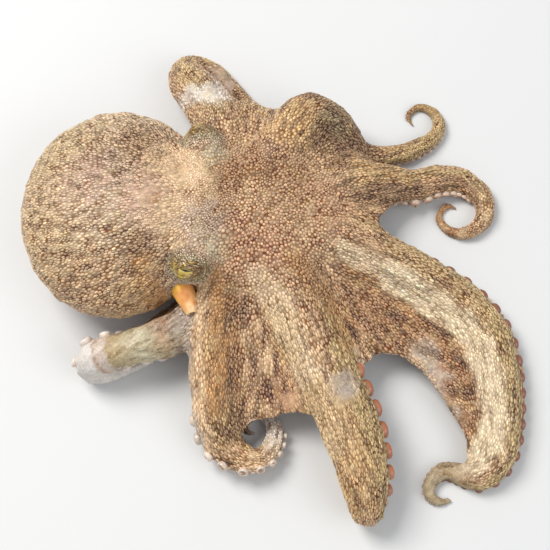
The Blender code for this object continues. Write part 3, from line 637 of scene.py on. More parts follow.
# Bare places on the upper side: x, y and reach.
BALD = [
    (24.5, -47, 5.5), (26, -54, 5), (-23, 93, 7), (5, -50, 5), (-26, 77, 5), (-36, 78, 3), (-34, -36, 4),
    (-33, -47, 4), (59, -29.5, 4.4), (63, -35, 4), (66, -42, 4), (68, -50, 4.5), (70, -60, 5.5),
    (-48, 20, 6), (-42, -20, 9), (-53, -30, 12), (-37, 34, 4)]
# The half width under which an arm's end is bare.
ARMS_END = {"arm_r1": 5.2, "arm_r4": 12.0}
# The bands before the pale end of arm R4: tone, how fully it covers, and the lengths along the
# arm where it starts and is full.
R4_BANDS = (("olive", 0.6, 64, 70), ("pink", 0.9, 72.6, 73.6), ("white", 0.55, 72.6, 73.6))


def tints(points, normals):
    """Each point's pale tone, deep tone, and how thickly granules stand there, 0 to 1.

    A patch covers 1 - smooth(0.5, 1.3, distance / reach), where soft waves break its edge up. The
    net's tone goes from 0.7 of the pale one to the deep one as the ink goes from 0 to 1.
    """
    nearest, length, sideways, below = on_arms(points)
    width = samples[nearest, 3]
    on_mantle = 1 - smooth(MANTLE_EDGE, 1.12, off_mantle(points))
    on_arm = (1 - smooth(1.05, 1.5, np.hypot(sideways, below))) * smooth(26, 44, length) * (1 - on_mantle)
    uneven = 0.28 * waves(points, 8, 11) + 0.16 * waves(points, 3.2, 12)
    shade = np.tile(np.ravel(TONES["beige"]), (len(points), 1))
    ink = np.full(len(points), 0.72)

    def towards(tone, share):
        nonlocal shade
        shade = shade + share[:, None] * (np.ravel(TONES[tone]) - shade)

    for number, name in enumerate(arms):
        back, left, right, tip = ARM_TONES[name]
        here = on_arm * (sample_arm[nearest] == number)
        towards(back, here * 0.8)
        towards(left, here * smooth(0.25, 0.7, sideways + uneven * 0.4))
        towards(right, here * smooth(0.25, 0.7, -sideways + uneven * 0.4))
        towards(tip, here * (1 - smooth(3.5, 6.0, width)) * 0.8)
    for tone, x, y, reach, most, dark in PATCHES:
        off = np.hypot(points[:, 0] - x, points[:, 1] - y) / reach
        share = most * (1 - smooth(0.5, 1.3, off + 0.55 * uneven))
        towards(tone, share)
        ink += share * (dark - ink)
    for tone, half, most, dark, places in STRIPES:
        steps = np.linspace(0, len(places) - 1, 12 * len(places))
        path = np.stack([np.interp(steps, np.arange(len(places)), axis) for axis in zip(*places)], -1)
        off = np.min(np.linalg.norm(points[:, None, :2] - path, axis=2), axis=1) / half
        share = most * (1 - smooth(0.45, 1.4, off + 0.5 * uneven)) * smooth(4, 9, points[:, 2])
        towards(tone, share)
        ink += share * (dark - ink)
    on_web = (1 - on_arm) * (1 - on_mantle) * smooth(28, 42, round_crown(points)[1])
    # The wrinkles' relief, from the same waves as the creases in the skin's shape: high on a crest, low in a
    # trough.
    wrinkle_relief = ridges(points, length, sideways, below, width, on_arm * smooth(2, 5, width), on_mantle,
                    1.25 * on_web)
    towards("brown", 0.5 * smooth(0.1, 0.9, 0.45 * waves(points, 5.5, 13) + 0.35 * waves(points, 2.4, 14))
            * ink.clip(0, 1) * (1 - 0.7 * on_mantle))
    # Painted shade: the tones darken in the wrinkles' troughs.
    trough_shade_share = 0.75 - 0.35 * on_mantle + 0.1 * on_web
    towards("dark", trough_shade_share * smooth(0.1, 1.1, -wrinkle_relief) * smooth(0.1, 0.8, ink))
    towards("straw", 0.25 * smooth(0.5, 1.3, waves(points, 7, 23)))
    # Painted light and shade: the wrinkles' crests are lighter and their troughs darker.
    light = 1 + (0.14 - 0.04 * on_mantle) * wrinkle_relief.clip(-1.5, 1.5)
    shade = shade * (light + 0.11 * waves(points, 1.7, 22).clip(-2, 2))[:, None]
    on_r4 = on_arm * (sample_arm[nearest] == list(arms).index("arm_r4"))
    ring = length + 1.0 * uneven + 1.5 * below
    for tone, most, start, end in R4_BANDS:
        towards(tone, most * on_r4 * smooth(start, end, ring))
    towards("umber", 0.7 * on_r4 * np.exp(-(((ring - 76.6) / 0.45) ** 2)))
    towards("white", on_r4 * smooth(77, 78, ring))
    ink -= 0.8 * ink * on_r4 * smooth(66, 72, length)
    streaky = np.maximum(np.maximum(on_arm, on_mantle), on_web)
    # Random ink, with more of it in the wrinkles' troughs as painted shade.
    ink += 0.26 * waves(points, 6, 16) + 0.3 * waves(points, 2.3, 17) * (1 - 0.6 * streaky) - 0.24 * wrinkle_relief
    ink = ink.clip(0.05, 1.15)
    bald = np.zeros(len(points))
    for x, y, reach in BALD:
        off = np.hypot(points[:, 0] - x, points[:, 1] - y) / reach
        bald = np.maximum(bald, 1 - smooth(0.7, 1.1, off + 0.9 * uneven - 0.3 * wrinkle_relief))
    for name, least in ARMS_END.items():
        here = (sample_arm[nearest] == list(arms).index(name)) & (length > 40)
        bald = np.maximum(bald, here * (1 - smooth(least, least + 0.6, width)) * on_arm)
    under = np.maximum(on_arm * smooth(0.25, 0.6, below + 0.3 * uneven),
                       smooth(0.1, 0.45, -normals[:, 2] + 0.2 * uneven) * (1 - on_arm))
    towards("white", under * 0.5)
    towards("pink", under * 0.55)
    grain = (1 - under) * (1 - bald) * smooth(2.6, 3.4, np.where(on_arm > 0.5, width, 9))
    pale, deep = shade[:, :3], shade[:, 3:]
    deep = 0.7 * pale + ink[:, None] * (deep - 0.7 * pale)
    return pale, deep.clip(0.012), grain


def lid_rims(points):
    """How far each point lies from the nearer eye's opening: 1 on its rim, and 20 away from it."""
    rims = np.full(len(points), 20.0)
    for name, middle in eye_middles.items():
        far, _, rim = round_eye(name, points - middle)
        rims = np.minimum(rims, rim + (20.0 - rim).clip(0) * smooth(FINE_REACH - 5, FINE_REACH, far))
    return rims


# The yellow spot below each eye's opening: x, and how far it lies from the middle line.
LID_SPOT = (-35.6, 31.0)


def eye_tints(points, pale, deep):
    """The tones, with olive folds round each eye's opening, painted shade in their troughs, and yellow lids.
    """
    rim = lid_rims(points) + 0.6 * waves(points, 2.6, 18)
    trough = smooth(-0.1, 0.9, -eye_folds(points, lid_rims(points)))
    mottled = smooth(-0.1, 0.8, waves(points, 1.7, 27))
    from_middle = np.abs(points[:, 1] - CROWN[1])
    spot = np.hypot(points[:, 0] - LID_SPOT[0], from_middle - LID_SPOT[1])
    spot = 1 - smooth(0.8, 2.0, spot + 0.6 * waves(points, 1.2, 29))
    low_side = smooth(-1.0, 1.5, -0.6 * (points[:, 0] + 34) + 0.8 * (from_middle - 28.5)
                      + 1.2 * waves(points, 2.0, 24))
    for tone, most, low, high in (
            ("lilac", 0.6, 7.0, 12.0), ("green", 0.7, 4.5, 7.5), ("olive", 0.5, 2.5, 5.5),
            # Painted shade in the lids' folds: the mist fades and the dark gathers in their troughs.
            ("yellow", 0.05 + 0.6 * low_side, 1.7, 3.0), ("mist", 0.25 - 0.25 * trough, 4, 9),
            ("dark", 0.85 * trough * (1 - 0.7 * low_side), 2.4, 6.5),
            ("dark", 0.65 * mottled * (1 - low_side), 2.8, 6.0),
            ("dark", 0.5 * (1 - low_side), 1.6, 3.2), ("yellow", 0.85 * spot, 3.2, 4.6),
            ("dark", 0.85, 0.95, 1.2)):
        share = (most * (1 - smooth(low, high, rim)))[:, None]
        pale = pale + share * (np.array(TONES[tone][0]) - pale)
        deep = deep + share * (np.array(TONES[tone][1]) - deep)
    return pale, deep


def keep_attribute(piece, name, values):
    """Numbers, or rows of three as colours, on a mesh's corners, for its material to read."""
    kind, field = ("FLOAT_COLOR", "color") if values.ndim == 2 else ("FLOAT", "value")
    kept = piece.data.attributes.new(name, kind, "POINT")
    if values.ndim == 2:
        values = np.column_stack([values, np.ones(len(values))])
    kept.data.foreach_set(field, values.astype(np.float32).ravel())


skin_points = points_of(skin)
skin_normals = normals_of(skin)
pale, deep, grain = tints(skin_points, skin_normals)
pale, deep = eye_tints(skin_points, pale, deep)
grain *= smooth(3.6, 5.2, lid_rims(skin_points) + 1.0 * waves(skin_points, 3, 26))
keep_attribute(skin, "pale", pale)
keep_attribute(skin, "deep", deep)
keep_attribute(skin, "bare", 1 - grain)


class Wire:
    """A socket of a material's nodes. An expression on wires and numbers adds its Math nodes."""

    def __init__(self, tree, socket=None):
        self.tree, self.socket = tree, socket

    def node(self, kind, settings, sockets, output=0):
        """A new node: its settings first, then its sockets' values or links. A ramp's stops are
        pairs of a place and a colour."""
        made = self.tree.nodes.new(kind)
        for name, value in settings.items():
            if name == "stops":
                for _ in value[2:]:
                    made.color_ramp.elements.new(1.0)
                for stop, (place, colour) in zip(made.color_ramp.elements, value):
                    stop.position, stop.color = place, (*colour, 1.0)
            else:
                setattr(made, name, value)
        for name, value in sockets.items():
            if isinstance(value, Wire):
                self.tree.links.new(value.socket, made.inputs[name])
            else:
                made.inputs[name].default_value = value
        return Wire(self.tree, made.outputs[output] if made.outputs else None)

    def maths(self, operation, first, second=0.0):
        return self.node("ShaderNodeMath", {"operation": operation}, {0: first, 1: second})

    def mix(self, share, first, second):
        """A colour that goes from the first to the second by a share."""
        first, second = ((*c, 1.0) if isinstance(c, tuple) else c for c in (first, second))
        return self.node("ShaderNodeMix", {"data_type": "RGBA"}, {0: share, 6: first, 7: second}, 2)

    def steps(self, low, high):
        """0 below low, 1 above high, and smooth between."""
        return self.node("ShaderNodeMapRange", {"interpolation_type": "SMOOTHSTEP"},
                         {"Value": self, "From Min": low, "From Max": high})

    def attribute(self, name, output="Color"):
        return self.node("ShaderNodeAttribute", {"attribute_name": name}, {}, output)

    def place(self):
        return self.node("ShaderNodeTexCoord", {}, {}, "Object")

    def noise(self, size, detail=3.0, roughness=0.55):
        """Cloudy noise about size mm long, 0 to 1 round 0.5."""
        return self.node("ShaderNodeTexNoise", {}, {
            "Vector": self.place(), "Scale": 1 / (size * MM), "Detail": detail, "Roughness": roughness})

    def cells(self, size):
        """Cells about size mm across: how far a place lies from its cell's middle."""
        return self.node("ShaderNodeTexVoronoi", {}, {
            "Vector": self.place(), "Scale": 1 / (size * MM)}, "Distance")

    def bump(self, height, strength, distance):
        return self.node("ShaderNodeBump", {}, {"Height": height, "Strength": strength,
                                                "Distance": distance * MM})

    def surface(self, **sockets):
        """The shader of all these finishes, with its sockets by name."""
        made = self.node("ShaderNodeBsdfPrincipled", {}, {
            name.replace("_", " "): value for name, value in sockets.items()})
        self.node("ShaderNodeOutputMaterial", {}, {"Surface": made})

    def __add__(self, other):
        return self.maths("ADD", self, other)

    def __sub__(self, other):
        return self.maths("SUBTRACT", self, other)

    def __rsub__(self, other):
        return self.maths("SUBTRACT", other, self)

    def __mul__(self, other):
        return self.maths("MULTIPLY", self, other)

    __radd__, __rmul__ = __add__, __mul__


def new_finish(name):
    """An empty material, and the wire that its nodes are added by."""
    material = bpy.data.materials.new(name)
    material.use_nodes = True
    material.node_tree.nodes.clear()
    return material, Wire(material.node_tree)


# Wet hide: the deep tone with fine pale grains, and on bare places mostly the pale tone.
hide, wire = new_finish("wet_hide")
bare = wire.attribute("bare", "Fac")
cells = wire.cells(0.75)
cloud = wire.noise(2.2)
flecks = 1 - cells.steps(0.15, 0.62)
share = flecks * (bare * 0.45 + 0.22) + bare * cloud.steps(0.3, 0.75) * 0.5
tone = wire.mix(share, wire.attribute("deep"), wire.attribute("pale"))
tone = wire.mix(wire.noise(0.5).steps(0.5, 0.8) * 0.3, tone, wire.attribute("deep"))
wire.surface(
    Base_Color=tone,
    Roughness=cloud * 0.25 + 0.33,
    Normal=wire.bump(flecks * 0.6 + wire.noise(0.4), 0.35, 0.12),
    Subsurface_Weight=0.08, Subsurface_Radius=(0.0022, 0.0011, 0.0006), Subsurface_Scale=1.0,
    Coat_Weight=0.08, Coat_Roughness=0.16, Specular_IOR_Level=0.15)
skin.data.materials.append(hide)
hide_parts(*(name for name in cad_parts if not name.startswith(("eye_", "funnel"))))
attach(skin, "root")

# --- The granules -----------------------------------------------------------------------------
# The pale grains that stand on the hide, as close as cobbles. Each is a low dome that fills its
# own cell between its neighbours but for the net of dark hide round it. They are long and narrow
# on the arms, round on the crown, and finest on the head.
GRAIN_CORNERS = 7
GRAIN_SINK = 0.14
# A dome's wall and shoulder: their shares of its width and height.
GRAIN_WALL = (0.93, 0.45)
GRAIN_SHOULDER = (0.75, 0.88)
LONGEST_GRAIN = 1.75
WIDEST_GAP = 2.4
FULL_REACH = 0.72
PER_PIECE = 5600
CANDIDATES = 5.5


def grain_plan(points, out):
    """The grains' lie, width, length by width, and height at each point."""
    arm, length, sideways, below = on_arms(points)
    width = samples[arm, 3]
    on_mantle = 1 - smooth(MANTLE_EDGE, 1.12, off_mantle(points))
    to_neck = np.array((-24.0, 21.0, 24.0)) - points
    from_crown = points - (-10.0, 22.0, 20.0)
    on_arm = (1 - smooth(1.1, 1.9, np.hypot(sideways, below))) * smooth(26, 50, length)
    lie = on_mantle[:, None] * unit(to_neck) + (1 - on_mantle)[:, None] * (
        on_arm[:, None] * sample_along[arm] + (1 - on_arm)[:, None] * 0.6 * unit(from_crown))
    lie = unit(lie - out * (lie * out).sum(axis=1, keepdims=True) + 1e-6)
    off_head = np.hypot(points[:, 0] + 33, (points[:, 1] - 23) / 1.5) + 1.6 * waves(points, 6, 15)
    on_head = (1 - smooth(10, 15, off_head)) * (1 - on_mantle)
    by_eye = 1 - smooth(8, 12, lid_rims(points))
    small = np.maximum(np.maximum(on_head, by_eye), on_arm * (1 - smooth(3.5, 7.5, width)))
    on_web = smooth(30, 50, round_crown(points)[1]) * (1 - on_arm) * (1 - on_mantle)
    wide = 0.96 - 0.30 * np.maximum(on_arm, small) - 0.20 * np.maximum(on_mantle, on_web)
    wide = wide * (1 + 0.12 * waves(points, 12, 19))
    longer = 1.15 + 0.7 * on_mantle + 0.6 * on_web + 1.2 * on_arm * smooth(3, 7, width) * (1 - on_mantle)
    high = 0.20 * (1 - 0.45 * small) * (1 - 0.3 * on_head)
    return lie, wide, longer, high


def near_pairs(points, reach):
    """Every point with each other point within reach of it, as two rows of numbers.

    The points are sorted by the cube of a lattice that they lie in, so that those in the cubes
    round a point make nine runs of that order.
    """
    cell = np.floor((points - points.min(axis=0)) / reach).astype(int) + 1
    high = cell.max(axis=0) + 2
    key = (cell[:, 0] * high[1] + cell[:, 1]) * high[2] + cell[:, 2]
    order = np.argsort(key, kind="stable")
    ranked = key[order]
    rows = []
    for step in ((-1, -1), (-1, 0), (-1, 1), (0, -1), (0, 0), (0, 1), (1, -1), (1, 0), (1, 1)):
        beside = key + (step[0] * high[1] + step[1]) * high[2]
        start = np.searchsorted(ranked, beside - 1, "left")
        count = np.searchsorted(ranked, beside + 1, "right") - start
        first = np.repeat(np.arange(len(points)), count)
        within = np.arange(len(first)) - np.repeat(np.cumsum(count) - count, count)
        second = order[np.repeat(start, count) + within]
        off = points[second] - points[first]
        near = (first != second) & ((off**2).sum(axis=1) < reach**2)
        rows.append(np.stack([first[near], second[near]]))
    return np.concatenate(rows, axis=1)


def spread_points(piece, weights, draw):
    """Points strewn over a piece, so many to the square millimetre as its corners' weights say,
    with their normals."""
    mesh = piece.data
    mesh.calc_loop_triangles()
    corners = read(mesh.loop_triangles, "vertices", np.int32)
    at, out = points_of(piece), normals_of(piece)
    a, b, c = (at[corners[:, k]] for k in range(3))
    area = np.linalg.norm(np.cross(b - a, c - a), axis=1) / 2
    amount = np.cumsum(area * weights[corners].mean(axis=1))
    face = np.searchsorted(amount, draw.uniform(0, amount[-1], int(amount[-1])))
    s, t = draw.uniform(0, 1, (2, len(face), 1))
    s, t = np.where(s + t > 1, 1 - s, s), np.where(s + t > 1, 1 - t, t)
    share = np.concatenate([1 - s - t, s, t], axis=1)
    return ((at[corners[face]] * share[..., None]).sum(axis=1),
            unit((out[corners[face]] * share[..., None]).sum(axis=1)))


def in_ovals(points, out, pairs):
    """Each pair's way from its first point, along the grains' lie and across it, by their size."""
    lie, wide, longer, _ = grain_plan(points, out)
    beside = np.cross(out, lie)
    first, second = pairs
    off = points[second] - points[first]
    size = (wide[first] + wide[second]) / 2
    along = (off * lie[first]).sum(axis=1) / (size * longer[first])
    across = (off * beside[first]).sum(axis=1) / size
    return along, across


def thinned(points, out, draw):
    """The numbers of points no two of which lie in one grain's oval.

    Each point has a rank. Those that outrank all others in their oval stay and clear it, and so
    on with the rest.
    """
    pairs = near_pairs(points, LONGEST_GRAIN)
    along, across = in_ovals(points, out, pairs)
    first, second = pairs[:, along**2 + across**2 < 1]
    rank = draw.uniform(0, 1, len(points))
    open_still = np.ones(len(points), bool)
    stays = np.zeros(len(points), bool)
    while open_still.any():
        beaten = np.zeros(len(points), bool)
        beaten[first[rank[second] > rank[first]]] = True
        best = open_still & ~beaten
        stays |= best
        open_still &= ~best
        open_still[second[best[first]]] = False
        left = open_still[first] & open_still[second]
        first, second = first[left], second[left]
    return np.flatnonzero(stays)


def domes(name, roots, out, rings, heights, pale, deep, place):
    """Low domes with flat tops: a sunk foot, a ring on the wall, a shoulder, and a top."""
    count, corners = rings.shape[:2]
    up = out[:, None] * heights[:, None, None]
    foot = roots[:, None] + rings - out[:, None] * GRAIN_SINK
    wall, shoulder = (roots[:, None] + wide * rings + high * up
                      for wide, high in (GRAIN_WALL, GRAIN_SHOULDER))
    points = np.concatenate([foot, wall, shoulder, roots[:, None] + up], axis=1)
    points[..., 2] = np.maximum(points[..., 2], 0.02)
    k = np.arange(corners)
    after = (k + 1) % corners
    sides = np.concatenate([np.stack([k, after, after + corners, k + corners], -1) + corners * row
                            for row in (0, 1)])
    caps = np.stack([k, after, np.full(corners, corners)], -1) + 2 * corners
    firsts = (np.arange(count) * points.shape[1])[:, None, None]
    quads, fans = (sides + firsts).reshape(-1, 4), (caps + firsts).reshape(-1, 3)
    piece = new_piece(name, points.reshape(-1, 3), quads.tolist() + fans.tolist())
    lift = np.repeat((0.4, 0.9, 1.0, 1.0), (corners, corners, corners, 1))
    tone = deep[:, None] + lift[None, :, None] * (pale - deep)[:, None]
    keep_attribute(piece, "tone", tone.reshape(-1, 3))
    # Each grain's patch on the unwrap lies round its root's place.
    turn = 2 * math.pi * k / corners
    ring = np.stack([np.cos(turn), np.sin(turn)], -1) * 0.0015
    patch = np.concatenate([ring, GRAIN_WALL[0] * ring, GRAIN_SHOULDER[0] * ring, np.zeros((1, 2))])
    spots = (place[:, None] + patch[None]).reshape(-1, 2)
    loops = read(piece.data.loops, "vertex_index", np.int32, 1)[:, 0]
    layer = piece.data.uv_layers.new(name="OFBake")
    layer.data.foreach_set("uv", spots[loops].astype(np.float32).ravel())
    return piece


draw = np.random.default_rng(41)
_, wide, longer, _ = grain_plan(skin_points, skin_normals)
strewn, out = spread_points(skin, np.where(grain > 0.4, CANDIDATES / (wide**2 * longer), 0), draw)
kept = thinned(strewn, out, draw)
roots, out = strewn[kept], out[kept]
lie, wide, longer, heights = grain_plan(roots, out)

# A grain reaches, each way, to half way to its nearest neighbour that way, less the net.
pairs = near_pairs(roots, WIDEST_GAP)
along, across = in_ovals(roots, out, pairs)
turn = 2 * math.pi * (np.arange(GRAIN_CORNERS)[None] + draw.uniform(0, 1, (len(roots), 1))) / GRAIN_CORNERS
reach = np.full(turn.shape, FULL_REACH)
toward = along[:, None] * np.cos(turn[pairs[0]]) + across[:, None] * np.sin(turn[pairs[0]])
far = (along**2 + across**2)[:, None]
np.minimum.at(reach, pairs[0], np.where(toward > 0.1, far / (2 * np.maximum(toward, 0.1)), FULL_REACH))
root_pale, root_deep, _ = tints(roots, out)
root_pale, root_deep = eye_tints(roots, root_pale, root_deep)
contrast = 1 - (root_deep.sum(axis=1) / root_pale.sum(axis=1))
reach = 0.75 * reach + 0.25 * reach.mean(axis=1, keepdims=True)
reach *= (1.07 - 0.14 * contrast)[:, None] * draw.uniform(0.95, 1.04, reach.shape)
reach *= draw.uniform(0.9, 1.03, (len(roots), 1))
rings = (reach * np.cos(turn) * (wide * longer)[:, None])[..., None] * lie[:, None] + (
    reach * np.sin(turn) * wide[:, None])[..., None] * np.cross(out, lie)[:, None]
heights = heights * draw.uniform(0.65, 1.3, len(roots)) * np.minimum(reach.mean(axis=1) / 0.5, 1.15)
bright = draw.normal(0.97, 0.12, len(roots)) + 0.16 * draw.standard_normal(len(roots)).clip(0)
bright -= 0.3 * (draw.uniform(0, 1, len(roots)) < 0.22) * smooth(0.2, 0.6, contrast)
root_pale = (root_pale * (1 + (bright - 1) * (0.3 + contrast))[:, None]).clip(0.02, 0.9)

# The unwrap: round and along the mantle, round and away from the crown, and along every arm.
root_arm, root_length, root_sideways, root_below = on_arms(roots)
from_mantle = (roots - MANTLE[0]) / np.array(MANTLE[1])
is_mantle = off_mantle(roots) < 1.10
is_arm = ~is_mantle & (np.hypot(root_sideways, root_below) < 1.35) & (root_length > 34)
angle, far = round_crown(roots)
crown_spots = np.stack([angle / (2 * math.pi) % 1, (far / 95).clip(0, 1)], -1)
mantle_spots = np.stack([np.arctan2(from_mantle[:, 1], from_mantle[:, 2]) / (2 * math.pi) % 1,
                         np.arccos(from_mantle[:, 0].clip(-1, 1)) / math.pi], -1)
strip = (np.arctan2(root_sideways, -root_below) / (2 * math.pi) + 0.5) * 0.9 + 0.05
arm_spots = np.stack([(root_length / 240).clip(0, 1), (sample_arm[root_arm] + strip) / len(arms)], -1)

grain_finish, wire = new_finish("granules")
spot = wire.noise(0.35)
wire.surface(
    Base_Color=wire.mix(spot.steps(0.45, 0.75) * 0.3, wire.attribute("tone"), (0.30, 0.18, 0.10)),
    Roughness=spot * 0.3 + 0.33,
    Normal=wire.bump(wire.noise(0.25), 0.25, 0.06),
    Subsurface_Weight=0.08, Subsurface_Radius=(0.0016, 0.0009, 0.0005), Subsurface_Scale=1.0,
    Coat_Weight=0.45, Coat_Roughness=0.13, Specular_IOR_Level=0.25)
for name, chosen, spots in (("mantle", is_mantle, mantle_spots), ("arm", is_arm, arm_spots),
                            ("crown", ~is_mantle & ~is_arm, crown_spots)):
    numbers = np.flatnonzero(chosen)
    numbers = numbers[np.argsort(root_arm[numbers], kind="stable")]
    for part, some in enumerate(np.array_split(numbers, -(-len(numbers) // PER_PIECE))):
        piece = domes(f"granules_{name}_{part + 1}", roots[some], out[some], rings[some], heights[some],
                      root_pale[some], root_deep[some], spots[some])
        piece.data.materials.append(grain_finish)
        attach(piece, "root")

# --- The suckers ------------------------------------------------------------------------------
# Two rows of soft cups along every arm's underside. Each has a raised rim, a hollow face and a
# small deep middle. Along the curled edges they look out sideways.
CUP_AROUND = 16
CUP_PROFILE = np.array([(0.62, -0.75), (0.90, -0.35), (1.0, 0.05), (0.97, 0.34), (0.84, 0.44), (0.70, 0.34),
                        (0.52, 0.16), (0.34, 0.06), (0.24, -0.18), (0.10, -0.32), (0.0, -0.34)])
WALL_ROWS = 3
RIM_ROW = 3.2
SHADED_DEEP_ROW = 8
UNDER_ANGLE = math.radians(57.0)
UNDER_SHARE = 0.92
LEAST_RADIUS = 0.45
ROW_STARTS = {-1: 28.5, 1: 26.0}


def cups(name, places, outs, radii, wall_tones, rim_tones, cup_tones):
    """Round cups: the profile's (radius, height) pairs turned about each place's way out, with
    their walls, rims and faces in three tones."""
    steady = np.where(np.abs(outs[:, 2:]) > 0.8, (1.0, 0.0, 0.0), (0.0, 0.0, 1.0))
    across = unit(np.cross(outs, steady))
    other = np.cross(outs, across)
    turn = turns(CUP_AROUND)
    ring = np.cos(turn)[None, :, None] * across[:, None] + np.sin(turn)[None, :, None] * other[:, None]
    far, high = CUP_PROFILE.T
    points = (places[:, None, None] + radii[:, None, None, None] * (
        far[None, :, None, None] * ring[:, None] + high[None, :, None, None] * outs[:, None, None]))
    points[..., 2] = np.maximum(points[..., 2], 0.03)
    rows = len(CUP_PROFILE)
    firsts = np.arange(len(places)) * rows * CUP_AROUND
    faces = (grid_faces(rows, CUP_AROUND)[None] + firsts[:, None, None]).reshape(-1, 4)
    piece = new_piece(name, points.reshape(-1, 3), faces.tolist())
    row = np.arange(rows)[None, :, None]
    tone = np.where(row < WALL_ROWS, wall_tones[:, None], cup_tones[:, None])
    tone = tone + np.exp(-(((row - RIM_ROW) / 1.4) ** 2)) * (rim_tones[:, None] - tone)
    # Painted shade: the cup's deep middle is darkened.
    tone = tone * (1 - 0.45 * (row >= SHADED_DEEP_ROW))
    keep_attribute(piece, "tone", np.repeat(tone, CUP_AROUND, axis=1).reshape(-1, 3))
    return piece


sucker_finish, wire = new_finish("sucker_flesh")
blotch = wire.noise(1.4)
wire.surface(
    Base_Color=wire.mix(blotch.steps(0.5, 0.8) * 0.35, wire.attribute("tone"), (0.42, 0.22, 0.14)),
    Roughness=blotch * 0.3 + 0.25,
    Normal=wire.bump(wire.noise(0.3), 0.2, 0.06),
    Subsurface_Weight=0.15, Subsurface_Radius=(0.0022, 0.0011, 0.0007), Subsurface_Scale=1.0,
    Coat_Weight=0.4, Coat_Roughness=0.15)
RIM_TONES = {"arm_r1": (0.20, 0.035, 0.02), "arm_r2": (0.44, 0.10, 0.03), "arm_r3": (0.60, 0.50, 0.42),
             "arm_r4": (0.70, 0.62, 0.56)}
EDGE_TONES = {"arm_r1": (0.27, 0.12, 0.06), "arm_r2": (0.34, 0.18, 0.09)}
RIM_TONE = (0.48, 0.30, 0.20)
FACE_TONE = np.array((0.66, 0.54, 0.44))
EDGE_PUSH = 0.32
for name, (route, run, along, face, side) in arms.items():
    places, outs, radii, edges = [], [], [], []
    for sign in (-1, 1):
        edged = [(start, end) for row, way, start, end in EDGE_ROWS if row == name and way == sign]
        length = ROW_STARTS[sign]
        while length < run[-1] - 3:
            if edged and abs(length - edged[0][0]) < 2:
                length = edged[0][0]
            on_edge = bool(edged) and edged[0][0] <= length < edged[0][1]
            radius = SUCKER_SHARE * np.interp(length, run, route[:, 3]) * (1.0 if on_edge else UNDER_SHARE)
            slant = SUCKER_ANGLE if on_edge else UNDER_ANGLE
            side_now, face_now = along_route(side, run, length), along_route(face, run, length)
            way = sign * math.cos(slant) * side_now + FACE_SHARE * math.sin(slant) * face_now
            places.append(along_route(route, run, length)[:3] + EDGE_PUSH * radius * on_edge * sign * side_now
                          + np.interp(length, run, route[:, 3]) * way)
            edges.append(on_edge)
            outs.append(unit(sign * math.cos(slant) * side_now + 1.2 * math.sin(slant) * face_now))
            radii.append(max(radius, LEAST_RADIUS))
            length += SUCKER_PITCH / SUCKER_SHARE * radii[-1]
    radii = np.array(radii)
    shade = draw.uniform(0.85, 1.12, (len(radii), 1))
    wall = np.where(np.array(edges)[:, None], EDGE_TONES.get(name, FACE_TONE), FACE_TONE)
    piece = cups(f"suckers_{name[4:]}", np.array(places), np.array(outs), radii, wall * shade,
                 np.array(RIM_TONES.get(name, RIM_TONE)) * shade, FACE_TONE * shade)
    piece.data.materials.append(sucker_finish)
    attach(piece, "root")

# --- The eyes ---------------------------------------------------------------------------------
# Each eye is a ball of its own, sunk in its mound behind the lids, with a golden, flecked iris
# and a level, dark slit of a pupil.
for name, middle in eye_middles.items():
    look = unit(np.array(LID_LOOK[name]))
    level = unit(np.cross(look, (0.0, 0.0, 1.0)))
    upright = np.cross(level, look)
    turn = turns(64)[None, :, None]
    polar = np.linspace(0, math.pi, 41)[:, None, None]
    ball = np.sin(polar) * (np.cos(turn) * level - np.sin(turn) * upright) + np.cos(polar) * look
    radius = EYE_RADIUS + 0.25 * np.exp(-((polar / 0.5) ** 2))
    piece = closed_grids(f"eyeball_{name}", [middle + radius * ball])
    iris, wire = new_finish(f"iris_{name}")
    centre = Vector((middle + SHIFT) * MM)
    off = wire.node("ShaderNodeVectorMath", {"operation": "SUBTRACT"}, {0: wire.place(), 1: centre})

    def reach_along(way):
        """How far a place lies from the eye's middle in one way, in millimetres."""
        return wire.node("ShaderNodeVectorMath", {"operation": "DOT_PRODUCT"}, {
            0: off, 1: Vector(way)}, "Value") * (1 / MM)

    wide, high = reach_along(level), reach_along(upright)
    flat = wire.maths("ABSOLUTE", high - 0.03 * wide * wide - 0.35)
    slit = 1 - (flat + wire.maths("ABSOLUTE", wide) * 0.16).steps(0.35, 0.6)
    spread = wire.maths("SQRT", wide * wide * 0.6 + high * high)
    ring = wire.node("ShaderNodeValToRGB", {"stops": [
        (0.0, (0.55, 0.42, 0.09)), (0.45, (0.72, 0.52, 0.12)), (0.75, (0.48, 0.30, 0.06)),
        (1.0, (0.10, 0.06, 0.02))]}, {"Fac": spread * 0.17})
    fleck = wire.noise(0.5, 5.0, 0.7)
    tone = wire.mix(fleck.steps(0.5, 0.72) * 0.7, ring, (0.16, 0.09, 0.03))
    tone = wire.mix(slit, tone, (0.004, 0.004, 0.005))
    wire.surface(Base_Color=tone, Roughness=0.22, Coat_Weight=1.0, Coat_Roughness=0.03)
    piece.data.materials.append(iris)
    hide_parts(f"eye_{name}")
    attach(piece, "root")

# --- The funnel -------------------------------------------------------------------------------
# The soft tube that the animal breathes and jets through. It comes out under the head's right
# side and ends in a rounded, open lip.
FUNNEL_ROUTE = [(-47, 8, 22, 7.5), (-41.5, -1, 23, 6.2), (-36.5, -8.5, 24.3, 5), (-34, -14, 24.5, 3.8),
                (-32.3, -19, 24.3, 2.2)]
FUNNEL_BORE = (1.2, 6.0)

route, run = smooth_route(FUNNEL_ROUTE)
along, face, side = arm_frames(route)
length = run[-1]
